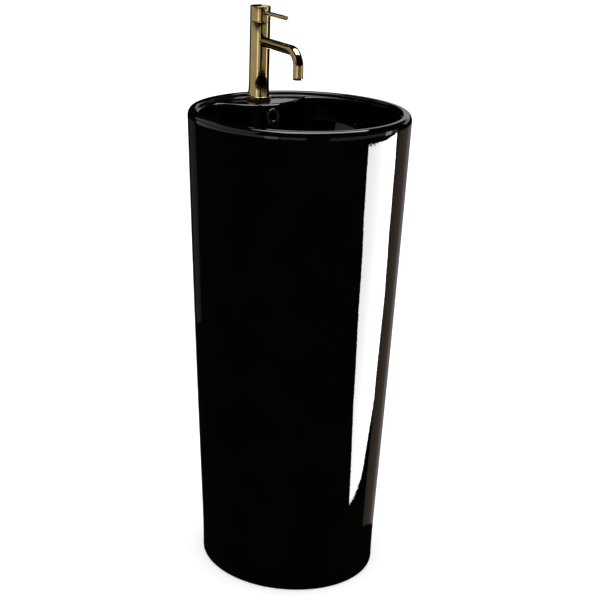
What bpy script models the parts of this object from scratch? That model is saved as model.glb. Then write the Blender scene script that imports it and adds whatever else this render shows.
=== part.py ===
"""Free-standing column wash basin with a single-lever mixer, a push-plug waste and a bottle trap.

Metres, +Z up. The origin is at the middle of the foot, the front faces -Y and the tap stands at +Y.
"""

import math

import bmesh
import bpy
from mathutils import Matrix, Vector

MM = 0.001
GAP = 0.3 * MM  # between pieces that touch
RUN = 0.4 * MM  # between a moving piece and what it moves in
PAST = 1 * MM  # how far a cutter runs past the face it opens

# Basin: the outside
HEIGHT = 866 * MM
RIM_RADIUS = 200 * MM
FOOT_HALF_WIDTH = 160 * MM
FOOT_HALF_DEPTH = 175 * MM
BELLY = 0.045
STRAIGHT_FOOT = 0.05
FOOT_ROUND = 3 * MM
LIP_HEIGHT = 12 * MM
LIP_INSET = 8 * MM
RIM_THICKNESS = 17 * MM
RIM_INNER_ROUND = 4 * MM
COLUMN_WALL = 14 * MM
CAVITY_CORNER = 3 * MM

# Basin: ledge and bowl
LEDGE_DROP = 8 * MM
LEDGE_SLAB = 16 * MM
LEDGE_BULGE_RADIUS = 88 * MM
LEDGE_BULGE_SETBACK = 10 * MM
LEDGE_BLEND = 26 * MM
LEDGE_EDGE_ROUND = 6 * MM
BOWL_DEPTH = 150 * MM
BOWL_Y = -40 * MM
BOWL_WALL = 14 * MM
BOWL_SQUARENESS = 2.6
BOWL_STEP = 0.6 * MM
FLOOR_RADIUS = 37 * MM
BOSS_RADIUS = 40 * MM
BOSS_HEIGHT = 34 * MM
SLOT_WIDTH = 150 * MM
SLOT_HEIGHT = 600 * MM
AROUND = 48
WALL_RINGS = 9
BOWL_RINGS = 7

# Overflow
OVERFLOW_DROP = 30 * MM
OVERFLOW_RADIUS = 11.5 * MM
OVERFLOW_RING_RADIUS = 14 * MM
OVERFLOW_RING_LIP = 2 * MM
OVERFLOW_RING_WALL = 2.7 * MM
OVERFLOW_RING_DEPTH = 6 * MM
CHANNEL_RADIUS = 6.5 * MM
CHANNEL_OFFSET = 15 * MM
CHANNEL_WALL = 7 * MM
CHANNEL_FALL = 2 * MM

# Waste and plug, heights from the bowl's floor
WASTE_TUBE_RADIUS = 20.5 * MM
WASTE_HOLE_CLEARANCE = 2.5 * MM
WASTE_TUBE_WALL = 2 * MM
WASTE_FLANGE_RADIUS = 32 * MM
WASTE_FLANGE = 3 * MM
WASTE_SEAL = 2 * MM
WASTE_RECESS = 4 * MM
WASTE_LENGTH = 76 * MM
WASTE_GASKET = 6 * MM
WASTE_GASKET_RADIUS = 28 * MM
WASTE_SLOT_WIDTH = 8 * MM
WASTE_SLOT_HEIGHT = 10 * MM
WASTE_NUT = 10 * MM
WASTE_NUT_RADIUS = 30 * MM
PLUG_RADIUS = 30 * MM
PLUG_THICKNESS = 6 * MM
PLUG_GROOVE = 2.6 * MM
PLUG_SEAL_WIDTH = 3 * MM
PLUG_STEM_RADIUS = 4 * MM
PLUG_STEM_LENGTH = 46 * MM
GUIDE_TOP = 14 * MM
GUIDE_LENGTH = 20 * MM
GUIDE_WALL = 2.2 * MM
SPRING_WIRE = 0.5 * MM
SPRING_TURNS = 5

# Bottle trap, heights from the floor
TRAP_PIPE_RADIUS = 16 * MM
TRAP_PIPE_WALL = 1.6 * MM
TRAP_NUT_RADIUS = 26 * MM
TRAP_NUT_LIP = 3 * MM
TRAP_NUT_RISE = 12 * MM
TRAP_WASHER = 2.5 * MM
TRAP_FLANGE = 2.5 * MM
TRAP_COLLAR = 8 * MM
TRAP_CUP_SEAL = 2 * MM
TRAP_CUP_WALL = 3 * MM
TRAP_BODY_RADIUS = 32 * MM
TRAP_BODY_WALL = 2.6 * MM
TRAP_TOP = 575 * MM
TRAP_JOINT = 480 * MM
TRAP_CUP_HEIGHT = 52 * MM
TRAP_OUTLET_Z = 545 * MM
TRAP_NECK_RADIUS = 21 * MM
TRAP_NECK_LENGTH = 26 * MM
TRAP_NECK_WALL = 4 * MM
TRAP_DIP = 45 * MM
OUTLET_END_INSET = 6 * MM

# Tap, heights from the ledge
TAP_SETBACK = 43 * MM
TAP_HOLE_RADIUS = 17.5 * MM
TAP_GASKET = 1.2 * MM
TAP_RING_RADIUS = 23.5 * MM
TAP_RING = 5 * MM
TAP_RADIUS = 18.8 * MM
TAP_FLARE = 1.7 * MM
TAP_FLARE_TOP = 34 * MM
TAP_TOP = 144 * MM
TAP_BORE = 14.6 * MM
TAP_SPIGOT_RADIUS = 16 * MM
CORE_BOTTOM = 84 * MM
SEAT = 118 * MM
TAP_WALL = 2.8 * MM
SPOUT_Z = 108 * MM
SPOUT_RADIUS = 9.2 * MM
SPOUT_WALL = 1.2 * MM
SPOUT_REACH = 146 * MM
SPOUT_BEND = 27 * MM
SPOUT_TIP = 59 * MM
SPOUT_SOCKET = 10 * MM
TAIL_X = 7.5 * MM
TAIL_Y = 5 * MM
TAIL_RADIUS = 5 * MM
TAIL_WALL = 1 * MM
TAIL_SOCKET = 14 * MM
TAIL_DROP = 90 * MM
STUD_Y = -9 * MM
STUD_RADIUS = 3.9 * MM
STUD_SOCKET = 12 * MM
STUD_DROP = 70 * MM
HORSESHOE_RADIUS = 23 * MM
HORSESHOE_GASKET = 3 * MM
HORSESHOE_WASHER = 2.5 * MM
STUD_NUT = 8 * MM
STUD_NUT_RADIUS = 7.5 * MM
PORT_RADIUS = 3 * MM
PORT_CIRCLE = 7.5 * MM

# Cartridge and handle, heights from the ledge
CARTRIDGE_CLEARANCE = 1.3 * MM
CARTRIDGE_STEP = 1 * MM
CARTRIDGE_WALL = 1 * MM
CARTRIDGE_SEAL = 1.5 * MM
CARTRIDGE_FLOOR = 2 * MM
CARTRIDGE_SHOULDER = 134 * MM
CARTRIDGE_TOP = 139 * MM
DISC = 2.5 * MM
MOVING_DISC_PLAY = 3.2 * MM
DISC_POCKET = 1.5 * MM
ROTOR_TOP = 138 * MM
ROTOR_SWING = 7.2 * MM
PIVOT_Z = 135 * MM
PIN_RADIUS = 1.5 * MM
STEM_HALF = 3.5 * MM
STEM_NECK_RADIUS = 1.5 * MM
STEM_BALL_RADIUS = 2 * MM
STEM_SHOULDER = 130.5 * MM
CAP_OVERHANG = 0.1 * MM
CAP_HEIGHT = 27 * MM
CAP_LIFT = 1.2 * MM
CAP_WALL = 3.4 * MM
CAP_HOLLOW = 5 * MM
CAP_SOCKET = 18 * MM
CAP_EDGE = 0.8 * MM
CAP_BEVEL_DEG = 27
LEVER_Z = 161.3 * MM
LEVER_RADIUS = 4 * MM
LEVER_REACH = 99 * MM
LEVER_COLLAR_RADIUS = 5.4 * MM
LEVER_COLLAR = 4 * MM
LEVER_SHANK_RADIUS = 2.8 * MM
LEVER_SHANK = 11 * MM
GRUB_Z = 159.5 * MM
GRUB_RADIUS = 2.4 * MM
GRUB_LENGTH = 8 * MM

# Worked out from the above
LEDGE_Z = HEIGHT - LEDGE_DROP
RIM_INNER = RIM_RADIUS - RIM_THICKNESS
FLOOR_Z = HEIGHT - BOWL_DEPTH
BOSS_Z = FLOOR_Z - BOSS_HEIGHT
OVERFLOW_Z = HEIGHT - OVERFLOW_DROP
CAP_BOTTOM = TAP_TOP + CAP_LIFT
BODY_BOTTOM = TAP_GASKET + TAP_RING + 3 * GAP
TAP_Y = RIM_RADIUS - TAP_SETBACK
LEDGE_BULGE_Y = RIM_RADIUS - LEDGE_BULGE_SETBACK
WASTE_HOLE_RADIUS = WASTE_TUBE_RADIUS + WASTE_HOLE_CLEARANCE
TAP_BASE_RADIUS = TAP_RADIUS + TAP_FLARE
CARTRIDGE_BORE = TAP_RADIUS - TAP_WALL
CARTRIDGE_RADIUS = CARTRIDGE_BORE - CARTRIDGE_CLEARANCE
CARTRIDGE_SHOULDER_RADIUS = CARTRIDGE_RADIUS - CARTRIDGE_STEP
CARTRIDGE_INNER = CARTRIDGE_SHOULDER_RADIUS - CARTRIDGE_WALL
MOVING_DISC_RADIUS = CARTRIDGE_INNER - MOVING_DISC_PLAY
CAP_RADIUS = TAP_RADIUS + CAP_OVERHANG
CAP_HOLLOW_RADIUS = CAP_RADIUS - CAP_WALL

# Finishes: colour, metallic, roughness
BLACK_GLAZE = ((0.008, 0.008, 0.010), 0, 0.05)
BLACK_TRIM = ((0.020, 0.020, 0.022), 0.9, 0.12)
GOLD_PLATE = ((0.60, 0.42, 0.17), 1, 0.12)
BRASS = ((0.62, 0.50, 0.26), 1, 0.3)
CHROME = ((0.75, 0.75, 0.77), 1, 0.1)
STEEL = ((0.60, 0.60, 0.62), 1, 0.3)
COPPER = ((0.60, 0.30, 0.18), 1, 0.3)
CERAMIC_WHITE = ((0.85, 0.84, 0.80), 0, 0.25)
PLASTIC = ((0.75, 0.75, 0.72), 0, 0.4)
RUBBER = ((0.02, 0.02, 0.02), 0, 0.6)

UP = (0, 0, 1)
BACK = (0, 1, 0)
FRONT = (0, -1, 0)
RIGHT = (1, 0, 0)
SEAM_TURN = 0.07  # radians, keeps a cutter's corners off the corners of what it cuts


def clear_scene():
    for obj in list(bpy.data.objects):
        bpy.data.objects.remove(obj)


def collection(name, shown):
    made = bpy.data.collections.new(name)
    bpy.context.scene.collection.children.link(made)
    made.hide_render = not shown
    return made


clear_scene()
PARTS = collection("pedestal_sink", True)
CUTTERS = collection("cutters", False)


def material(name, color, metallic, roughness):
    made = bpy.data.materials.new(name)
    made.use_nodes = True
    shader = made.node_tree.nodes["Principled BSDF"]
    shader.inputs["Base Color"].default_value = (*color, 1)
    shader.inputs["Metallic"].default_value = metallic
    shader.inputs["Roughness"].default_value = roughness
    return made


def add(name, mesh, finish=None, location=(0, 0, 0), parent=None):
    """A new object. Without a finish, it is a cutter. The location is in world coordinates."""
    obj = bpy.data.objects.new(name, mesh)
    if finish is None:
        CUTTERS.objects.link(obj)
        obj.hide_render = True
        obj.display_type = "WIRE"
    else:
        PARTS.objects.link(obj)
        obj.data.materials.append(material(name, *finish))
    obj.location = location
    if parent:
        obj.parent = parent
        obj.matrix_parent_inverse = parent.matrix_world.inverted()
    return obj


def pivot(name, location, parent=None):
    """An empty on a joint's axis."""
    empty = bpy.data.objects.new(name, None)
    PARTS.objects.link(empty)
    empty.location = location
    if parent:
        empty.parent = parent
        empty.matrix_parent_inverse = parent.matrix_world.inverted()
    bpy.context.view_layer.update()
    return empty


def twice_area(profile):
    ends = profile[1:] + profile[:1]
    return sum(a[0] * b[1] - b[0] * a[1] for a, b in zip(profile, ends))


def turned(name, profile, finish=None, location=(0, 0, 0), parent=None, steps=28):
    """A profile of (radius, height) points, turned about its own Z.

    It is closed unless both ends are on the axis.
    """
    if twice_area(profile) > 0:
        profile = profile[::-1]
    solid = min(radius for radius, _ in profile) == 0
    if solid:
        first = next(i for i, p in enumerate(profile) if p[0] == 0 and profile[i - 1][0] == 0)
        profile = profile[first:] + profile[:first]
    edges = [(i, i + 1) for i in range(len(profile) - 1)]
    if not solid:
        edges.append((len(profile) - 1, 0))
    mesh = bpy.data.meshes.new(name)
    mesh.from_pydata([(radius, 0, height) for radius, height in profile], edges, [])
    obj = add(name, mesh, finish, location, parent)
    screw = obj.modifiers.new("turn", "SCREW")
    screw.steps = steps
    screw.render_steps = steps
    screw.use_merge_vertices = True
    screw.merge_threshold = 0.01 * MM
    return obj


def disc(radius, low, high):
    return [(0, low), (radius, low), (radius, high), (0, high)]


def ring(inner, outer, low, high):
    return [(inner, low), (outer, low), (outer, high), (inner, high)]


def along(obj, axis):
    """Turns an upright piece to run along an axis, with its corners off its neighbours' corners."""
    spin = Matrix.Rotation(SEAM_TURN, 4, "Z")
    facing = Vector(axis).to_track_quat("Z", "Y").to_matrix().to_4x4()
    obj.rotation_euler = (facing @ spin).to_euler()


def cylinder(name, radius, low, high, location, steps=28, axis=UP):
    """A cutter."""
    cutter = turned(name, disc(radius, low, high), None, location, None, steps)
    along(cutter, axis)
    return cutter


def box(name, low, high, finish=None, parent=None):
    mesh = bpy.data.meshes.new(name)
    shape = bmesh.new()
    bmesh.ops.create_cube(shape, size=1)
    for vert in shape.verts:
        vert.co = [(high[i] - low[i]) * vert.co[i] for i in range(3)]
    shape.to_mesh(mesh)
    shape.free()
    middle = [(low[i] + high[i]) / 2 for i in range(3)]
    return add(name, mesh, finish, middle, parent)


def hexagon(name, radius, low, high, finish, location):
    mesh = bpy.data.meshes.new(name)
    shape = bmesh.new()
    bmesh.ops.create_cone(
        shape, cap_ends=True, segments=6, radius1=radius, radius2=radius, depth=high - low
    )
    bmesh.ops.translate(shape, vec=(0, 0, (low + high) / 2), verts=shape.verts)
    shape.to_mesh(mesh)
    shape.free()
    return add(name, mesh, finish, location)


def boolean(obj, other, operation="DIFFERENCE"):
    modifier = obj.modifiers.new(other.name, "BOOLEAN")
    modifier.object = other
    modifier.operation = operation


def cut_all(obj, cutters):
    """Takes all the cutters away in one Boolean."""
    group = bpy.data.collections.new(obj.name + "_cutters")
    CUTTERS.children.link(group)
    group.hide_render = True
    for cutter in cutters:
        group.objects.link(cutter)
    modifier = obj.modifiers.new(group.name, "BOOLEAN")
    modifier.operand_type = "COLLECTION"
    modifier.collection = group


def curve_mesh(name, points, radius, finish=None, caps=True, resolution=3, parent=None):
    """A round tube or rod along the points, as a mesh with its caps welded."""
    curve = bpy.data.curves.new(name + "_curve", "CURVE")
    curve.dimensions = "3D"
    curve.bevel_depth = radius
    curve.bevel_resolution = resolution
    curve.use_fill_caps = caps
    spline = curve.splines.new("POLY")
    spline.points.add(len(points) - 1)
    for point, place in zip(spline.points, points):
        point.co = (*place, 1)
    source = bpy.data.objects.new(name + "_curve", curve)
    bpy.context.scene.collection.objects.link(source)
    bpy.context.view_layer.update()
    graph = bpy.context.evaluated_depsgraph_get()
    mesh = bpy.data.meshes.new_from_object(source.evaluated_get(graph))
    shape = bmesh.new()
    shape.from_mesh(mesh)
    bmesh.ops.remove_doubles(shape, verts=shape.verts, dist=0.001 * MM)
    shape.to_mesh(mesh)
    shape.free()
    mesh.name = name
    bpy.data.objects.remove(source)
    return add(name, mesh, finish, (0, 0, 0), parent)


def plate(name, outline, low, high, finish=None, location=(0, 0, 0)):
    """A flat outline of (x, y) points, as thick as low to high."""
    curve = bpy.data.curves.new(name + "_curve", "CURVE")
    curve.dimensions = "2D"
    curve.fill_mode = "BOTH"
    curve.extrude = (high - low) / 2
    spline = curve.splines.new("POLY")
    spline.points.add(len(outline) - 1)
    for point, (x, y) in zip(spline.points, outline):
        point.co = (x, y, 0, 1)
    spline.use_cyclic_u = True
    source = bpy.data.objects.new(name + "_curve", curve)
    bpy.context.scene.collection.objects.link(source)
    bpy.context.view_layer.update()
    graph = bpy.context.evaluated_depsgraph_get()
    mesh = bpy.data.meshes.new_from_object(source.evaluated_get(graph))
    shape = bmesh.new()
    shape.from_mesh(mesh)
    bmesh.ops.remove_doubles(shape, verts=shape.verts, dist=0.001 * MM)
    bmesh.ops.recalc_face_normals(shape, faces=shape.faces)
    bmesh.ops.translate(shape, vec=(0, 0, (low + high) / 2), verts=shape.verts)
    shape.to_mesh(mesh)
    shape.free()
    mesh.name = name
    bpy.data.objects.remove(source)
    return add(name, mesh, finish, location)


def loft(name, rings, finish=None):
    """Rings of equal length joined in turn, with a flat cap on the first and the last."""
    shape = bmesh.new()
    rows = [[shape.verts.new(point) for point in points] for points in rings]
    for lower, upper in zip(rows, rows[1:]):
        for i in range(len(lower)):
            j = (i + 1) % len(lower)
            shape.faces.new((lower[i], lower[j], upper[j], upper[i]))
    shape.faces.new(rows[0])
    shape.faces.new(rows[-1])
    bmesh.ops.recalc_face_normals(shape, faces=shape.faces)
    mesh = bpy.data.meshes.new(name)
    shape.to_mesh(mesh)
    shape.free()
    return add(name, mesh, finish)


def arc(steps):
    """Angles from 0 to a quarter turn, both ends included."""
    return [math.pi / 2 * i / steps for i in range(steps + 1)]


# The basin's surfaces, as distances from the bowl's upright axis along a direction.
# Direction 0 faces the front and pi the back.


def spread(height):
    """How far the column has opened out at this height, from 0 at the foot to 1 at the rim."""
    share = min(1, height / (HEIGHT - LIP_HEIGHT))
    ramp = (share - STRAIGHT_FOOT) / (1 - STRAIGHT_FOOT)
    soft = (ramp + math.sqrt(ramp * ramp + 0.001)) / 2
    return min(1, soft + BELLY * math.sin(math.pi * share))


def oval_reach(direction, half_width, half_depth):
    """Distance from the bowl's axis to an oval that is centred on the origin."""
    along_x = math.sin(direction) / half_width
    along_y = -math.cos(direction) / half_depth
    start = BOWL_Y / half_depth
    a = along_x**2 + along_y**2
    b = start * along_y
    return (-b + math.sqrt(b * b - a * (start * start - 1))) / a


def column_reach(direction, height, inset):
    opened = spread(max(height, 0))
    half_width = FOOT_HALF_WIDTH + (RIM_RADIUS - FOOT_HALF_WIDTH) * opened
    half_depth = FOOT_HALF_DEPTH + (RIM_RADIUS - FOOT_HALF_DEPTH) * opened
    return oval_reach(direction, half_width - inset, half_depth - inset)


def outside_bowl(direction, reach):
    """Below 0 inside the bowl's outline: the rim's inner circle, less the round ledge under the tap."""
    x = reach * math.sin(direction)
    y = BOWL_Y - reach * math.cos(direction)
    rim = math.hypot(x, y) - (RIM_INNER - BOWL_STEP)
    ledge = LEDGE_BULGE_RADIUS - math.hypot(x, y - LEDGE_BULGE_Y)
    return (rim + ledge + math.hypot(rim - ledge, LEDGE_BLEND)) / 2


def bowl_reach(direction):
    far = MM
    while outside_bowl(direction, far) < 0:
        far += MM
    near = far - MM
    for _ in range(20):
        middle = (near + far) / 2
        if outside_bowl(direction, middle) < 0:
            near = middle
        else:
            far = middle
    return far


def edge_round(direction):
    """Radius of the ledge's edge, which closes up where the bowl meets the rim with no ledge between."""
    ledge = oval_reach(direction, RIM_INNER, RIM_INNER) - bowl_reach(direction)
    return min(LEDGE_EDGE_ROUND, 0.6 * ledge)


def bowl_point(direction, angle, thickness=0):
    """(reach, height) on the bowl, from its edge at angle 0 to its floor at a quarter turn."""
    power = 2 / BOWL_SQUARENESS
    top = LEDGE_Z - edge_round(direction)
    wide = bowl_reach(direction) + thickness
    reach = FLOOR_RADIUS + (wide - FLOOR_RADIUS) * max(math.cos(angle), 0) ** power
    return reach, top - (top - FLOOR_Z + thickness) * math.sin(angle) ** power


def place(direction, reach, height):
    return (reach * math.sin(direction), BOWL_Y - reach * math.cos(direction), height)


def directions():
    return [2 * math.pi * i / AROUND for i in range(AROUND)]


def basin_section(direction):
    """(reach, height) points up the outside, over the rim and down the bowl to its floor."""
    points = []
    for angle in arc(2):
        inset = FOOT_ROUND * (1 - math.sin(angle))
        height = FOOT_ROUND * (1 - math.cos(angle))
        points.append((column_reach(direction, height, inset), height))
    lip_z = HEIGHT - LIP_HEIGHT
    for i in range(1, WALL_RINGS + 1):
        height = FOOT_ROUND + (lip_z - FOOT_ROUND) * i / WALL_RINGS
        points.append((column_reach(direction, height, 0), height))
    for angle in arc(3)[1:]:
        height = lip_z + LIP_HEIGHT * math.sin(angle)
        inset = LIP_INSET * (1 - math.cos(angle))
        points.append((column_reach(direction, height, inset), height))
    for angle in arc(2):
        inset = RIM_THICKNESS - RIM_INNER_ROUND * (1 - math.sin(angle))
        height = HEIGHT - RIM_INNER_ROUND * (1 - math.cos(angle))
        points.append((oval_reach(direction, RIM_RADIUS - inset, RIM_RADIUS - inset), height))
    points.append((oval_reach(direction, RIM_INNER, RIM_INNER), LEDGE_Z))
    edge = edge_round(direction)
    bowl = bowl_reach(direction)
    for angle in arc(2)[:-1]:
        points.append((bowl + edge * (1 - math.sin(angle)), LEDGE_Z - edge * (1 - math.cos(angle))))
    for angle in arc(BOWL_RINGS):
        points.append(bowl_point(direction, angle))
    return points


def in_cavity(direction, angle):
    """True where the bowl's underside is clear of the ledge's slab and of the column's wall."""
    reach, height = bowl_point(direction, angle, BOWL_WALL)
    inner = column_reach(direction, height, COLUMN_WALL)
    return height < LEDGE_Z - LEDGE_SLAB and reach < inner - CAVITY_CORNER


def cavity_start(direction):
    """The angle on the bowl's underside where the hollow column begins."""
    low = 0
    high = math.pi / 2
    for _ in range(30):
        middle = (low + high) / 2
        if in_cavity(direction, middle):
            high = middle
        else:
            low = middle
    return high


def cavity_section(direction):
    """(reach, height) points up the column's inner wall and down the bowl's underside."""
    start = cavity_start(direction)
    _, top = bowl_point(direction, start, BOWL_WALL)
    low = -10 * MM
    points = []
    for i in range(WALL_RINGS):
        height = low + (top - low) * i / (WALL_RINGS - 1)
        points.append((column_reach(direction, height, COLUMN_WALL), height))
    for i in range(BOWL_RINGS):
        angle = start + (math.pi / 2 - start) * i / (BOWL_RINGS - 1)
        points.append(bowl_point(direction, angle, BOWL_WALL))
    return points


def section_loft(name, section, finish=None):
    columns = [[place(d, *point) for point in section(d)] for d in directions()]
    return loft(name, [list(row) for row in zip(*columns)], finish)


def channel_points():
    """The overflow's way down behind the bowl, from the overflow hole to the waste hole."""
    points = []
    for i in range(13):
        angle = math.pi / 2 * (0.06 + 0.94 * i / 12)
        reach, height = bowl_point(math.pi, angle, CHANNEL_OFFSET)
        points.append(place(math.pi, reach, height))
    head = (0, points[0][1], OVERFLOW_Z + CHANNEL_RADIUS)
    points = [head] + [point for point in points if point[2] < OVERFLOW_Z - CHANNEL_RADIUS]
    end = FLOOR_Z - CHANNEL_OFFSET - CHANNEL_FALL
    return points + [place(math.pi, WASTE_HOLE_RADIUS - 4 * MM, end)]


def service_slot():
    """The arched opening in the column's back, as a cutter."""
    half = SLOT_WIDTH / 2
    spring = SLOT_HEIGHT - half
    outline = [(-half, -10 * MM), (half, -10 * MM)]
    for i in range(17):
        angle = math.pi * i / 16
        outline.append((half * math.cos(angle), spring + half * math.sin(angle)))
    cutter = plate("slot_cutter", outline, 0, 250 * MM)
    cutter.rotation_euler = (math.pi / 2, 0, 0)
    cutter.location = (0, 300 * MM, 0)
    return cutter


def make_basin():
    basin = section_loft("basin", basin_section, BLACK_GLAZE)
    cavity = section_loft("cavity_cutter", cavity_section)
    route = channel_points()
    axis = (0, BOWL_Y, 0)
    boolean(cavity, curve_mesh("channel_rib", route, CHANNEL_RADIUS + CHANNEL_WALL))
    boolean(cavity, cylinder("waste_boss", BOSS_RADIUS, BOSS_Z, FLOOR_Z + PAST, axis))
    recess = WASTE_FLANGE_RADIUS + 1.5 * MM
    step = FLOOR_Z - WASTE_RECESS
    waste = [(0, BOSS_Z - MM), (WASTE_HOLE_RADIUS, BOSS_Z - MM), (WASTE_HOLE_RADIUS, step)]
    waste += [(recess, step), (recess, HEIGHT), (0, HEIGHT)]
    waste_cutter = turned("waste_cutter", waste, None, axis)
    along(waste_cutter, UP)
    wall_y = BOWL_Y + bowl_reach(math.pi)
    seat = OVERFLOW_RING_RADIUS + GAP
    mouth = [(0, -5 * MM), (seat, -5 * MM), (seat, 0), (OVERFLOW_RADIUS, 0)]
    mouth += [(OVERFLOW_RADIUS, CHANNEL_OFFSET), (0, CHANNEL_OFFSET)]
    mouth = turned("overflow_cutter", mouth, None, (0, wall_y, OVERFLOW_Z))
    along(mouth, BACK)
    tap_at = (0, TAP_Y, LEDGE_Z)
    cutters = [
        cavity,
        curve_mesh("channel_cutter", route, CHANNEL_RADIUS),
        service_slot(),
        waste_cutter,
        cylinder("tap_hole_cutter", TAP_HOLE_RADIUS, -30 * MM, 20 * MM, tap_at),
        mouth,
    ]
    cut_all(basin, cutters)


def make_overflow_ring():
    wall_y = BOWL_Y + bowl_reach(math.pi)
    sleeve = OVERFLOW_RADIUS - GAP
    inner = sleeve - OVERFLOW_RING_WALL
    lip = GAP + OVERFLOW_RING_LIP
    profile = [
        (inner, -lip + MM),
        (inner + 0.6 * MM, -lip),
        (OVERFLOW_RING_RADIUS - 0.8 * MM, -lip),
        (OVERFLOW_RING_RADIUS, -lip + 0.8 * MM),
        (OVERFLOW_RING_RADIUS, -GAP),
        (sleeve, -GAP),
        (sleeve, OVERFLOW_RING_DEPTH),
        (inner, OVERFLOW_RING_DEPTH),
    ]
    trim = turned("overflow_ring", profile, BLACK_TRIM, (0, wall_y, OVERFLOW_Z))
    along(trim, BACK)


def waste_levels():
    """Heights from the bowl's floor: the seal's and the flange's undersides."""
    seal = -WASTE_RECESS + GAP
    return seal, seal + WASTE_SEAL + GAP


def make_waste():
    at = (0, BOWL_Y, FLOOR_Z)
    seal_z, flange_z = waste_levels()
    bore = WASTE_TUBE_RADIUS - WASTE_TUBE_WALL
    top = flange_z + WASTE_FLANGE
    body = turned(
        "waste_body",
        [
            (bore, -WASTE_LENGTH),
            (WASTE_TUBE_RADIUS, -WASTE_LENGTH),
            (WASTE_TUBE_RADIUS, flange_z),
            (WASTE_FLANGE_RADIUS, flange_z),
            (WASTE_FLANGE_RADIUS, top - MM),
            (WASTE_FLANGE_RADIUS - MM, top),
            (bore + 2.5 * MM, top),
            (bore, top - 2.5 * MM),
        ],
        GOLD_PLATE,
        at,
        steps=40,
    )
    slot_z = -CHANNEL_OFFSET - CHANNEL_FALL
    wide = WASTE_SLOT_WIDTH / 2
    tall = WASTE_SLOT_HEIGHT / 2
    for i in range(2):
        turn = math.pi * i / 2 + math.pi / 4
        name = f"waste_slot_cutter_{i + 1}"
        half = WASTE_TUBE_RADIUS + 5 * MM
        slot = box(name, (-half, -wide, -tall), (half, wide, tall))
        slot.location = (0, BOWL_Y, FLOOR_Z + slot_z)
        slot.rotation_euler = (0, 0, turn)
        boolean(body, slot)
    inner = WASTE_TUBE_RADIUS + GAP
    outer = WASTE_FLANGE_RADIUS - GAP
    turned("waste_top_seal", ring(inner + MM, outer, seal_z, seal_z + WASTE_SEAL), RUBBER, at)
    low = -BOSS_HEIGHT - GAP - WASTE_GASKET
    turned("waste_gasket", ring(inner, WASTE_GASKET_RADIUS, low, low + WASTE_GASKET), RUBBER, at)
    nut_z = low - GAP - WASTE_NUT
    nut = hexagon("waste_backnut", WASTE_NUT_RADIUS, nut_z, nut_z + WASTE_NUT, BRASS, at)
    boolean(nut, cylinder("backnut_cutter", inner, nut_z - PAST, nut_z + WASTE_NUT + PAST, at))


def make_plug():
    """The push plug, closed at rest. Its parts ride on an empty on the waste's axis."""
    at = (0, BOWL_Y, FLOOR_Z)
    lift = pivot("plug_lift", at)
    _, flange_z = waste_levels()
    seat = flange_z + WASTE_FLANGE + GAP
    bore = WASTE_TUBE_RADIUS - WASTE_TUBE_WALL
    hub = bore - PLUG_SEAL_WIDTH
    top = seat + PLUG_THICKNESS
    groove = seat - PLUG_GROOVE
    cap = [(0, groove), (hub, groove), (hub, seat)]
    cap += [(PLUG_RADIUS - MM, seat), (PLUG_RADIUS, seat + MM)]
    for angle in arc(4):
        rise = (PLUG_THICKNESS - 2 * MM) * math.sin(angle)
        cap.append((PLUG_RADIUS * (0.55 + 0.45 * math.cos(angle)), seat + 2 * MM + rise))
    cap.append((0, top))
    turned("plug_cap", cap, GOLD_PLATE, at, lift, steps=40)
    seal = ring(hub + GAP, bore - GAP, groove, seat - GAP)
    turned("plug_seal", seal, RUBBER, at, lift)
    stem_top = groove - GAP
    stem = disc(PLUG_STEM_RADIUS, stem_top - PLUG_STEM_LENGTH, stem_top)
    turned("plug_stem", stem, BRASS, at, lift, steps=24)
    make_plug_guide(at, bore)
    make_plug_spring(at, stem_top)


def make_plug_guide(at, bore):
    guide_bore = PLUG_STEM_RADIUS + RUN
    low = -GUIDE_TOP - GUIDE_LENGTH
    guide = turned(
        "plug_guide",
        ring(guide_bore, guide_bore + GUIDE_WALL, low, -GUIDE_TOP),
        BRASS,
        at,
        steps=24,
    )
    reach = bore - GAP
    arm = turned("guide_arms", disc(reach, low + 2 * MM, low + 5 * MM), None, at)
    for i in range(3):
        turn = 2 * math.pi * i / 3
        middle = 0.62 * bore
        x = middle * math.cos(turn)
        y = BOWL_Y + middle * math.sin(turn)
        hole_at = (x, y, FLOOR_Z)
        hole = cylinder(f"guide_hole_{i + 1}", 0.27 * bore, low - PAST, low + 8 * MM, hole_at, 20)
        boolean(arm, hole)
    boolean(arm, cylinder("guide_bore", guide_bore + MM, low - PAST, low + 8 * MM, at, 24))
    boolean(guide, arm, "UNION")


def make_plug_spring(at, stem_top):
    """A coil that stands on the guide and lifts the plug."""
    radius = PLUG_STEM_RADIUS + RUN + 2 * SPRING_WIRE
    low = -GUIDE_TOP + GAP + SPRING_WIRE
    high = stem_top - GAP - SPRING_WIRE
    steps = 12 * SPRING_TURNS
    points = []
    for i in range(steps + 1):
        turn = 2 * math.pi * i / 12
        height = low + (high - low) * i / steps
        points.append((radius * math.cos(turn), at[1] + radius * math.sin(turn), at[2] + height))
    curve_mesh("plug_spring", points, SPRING_WIRE, STEEL, resolution=1)


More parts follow.
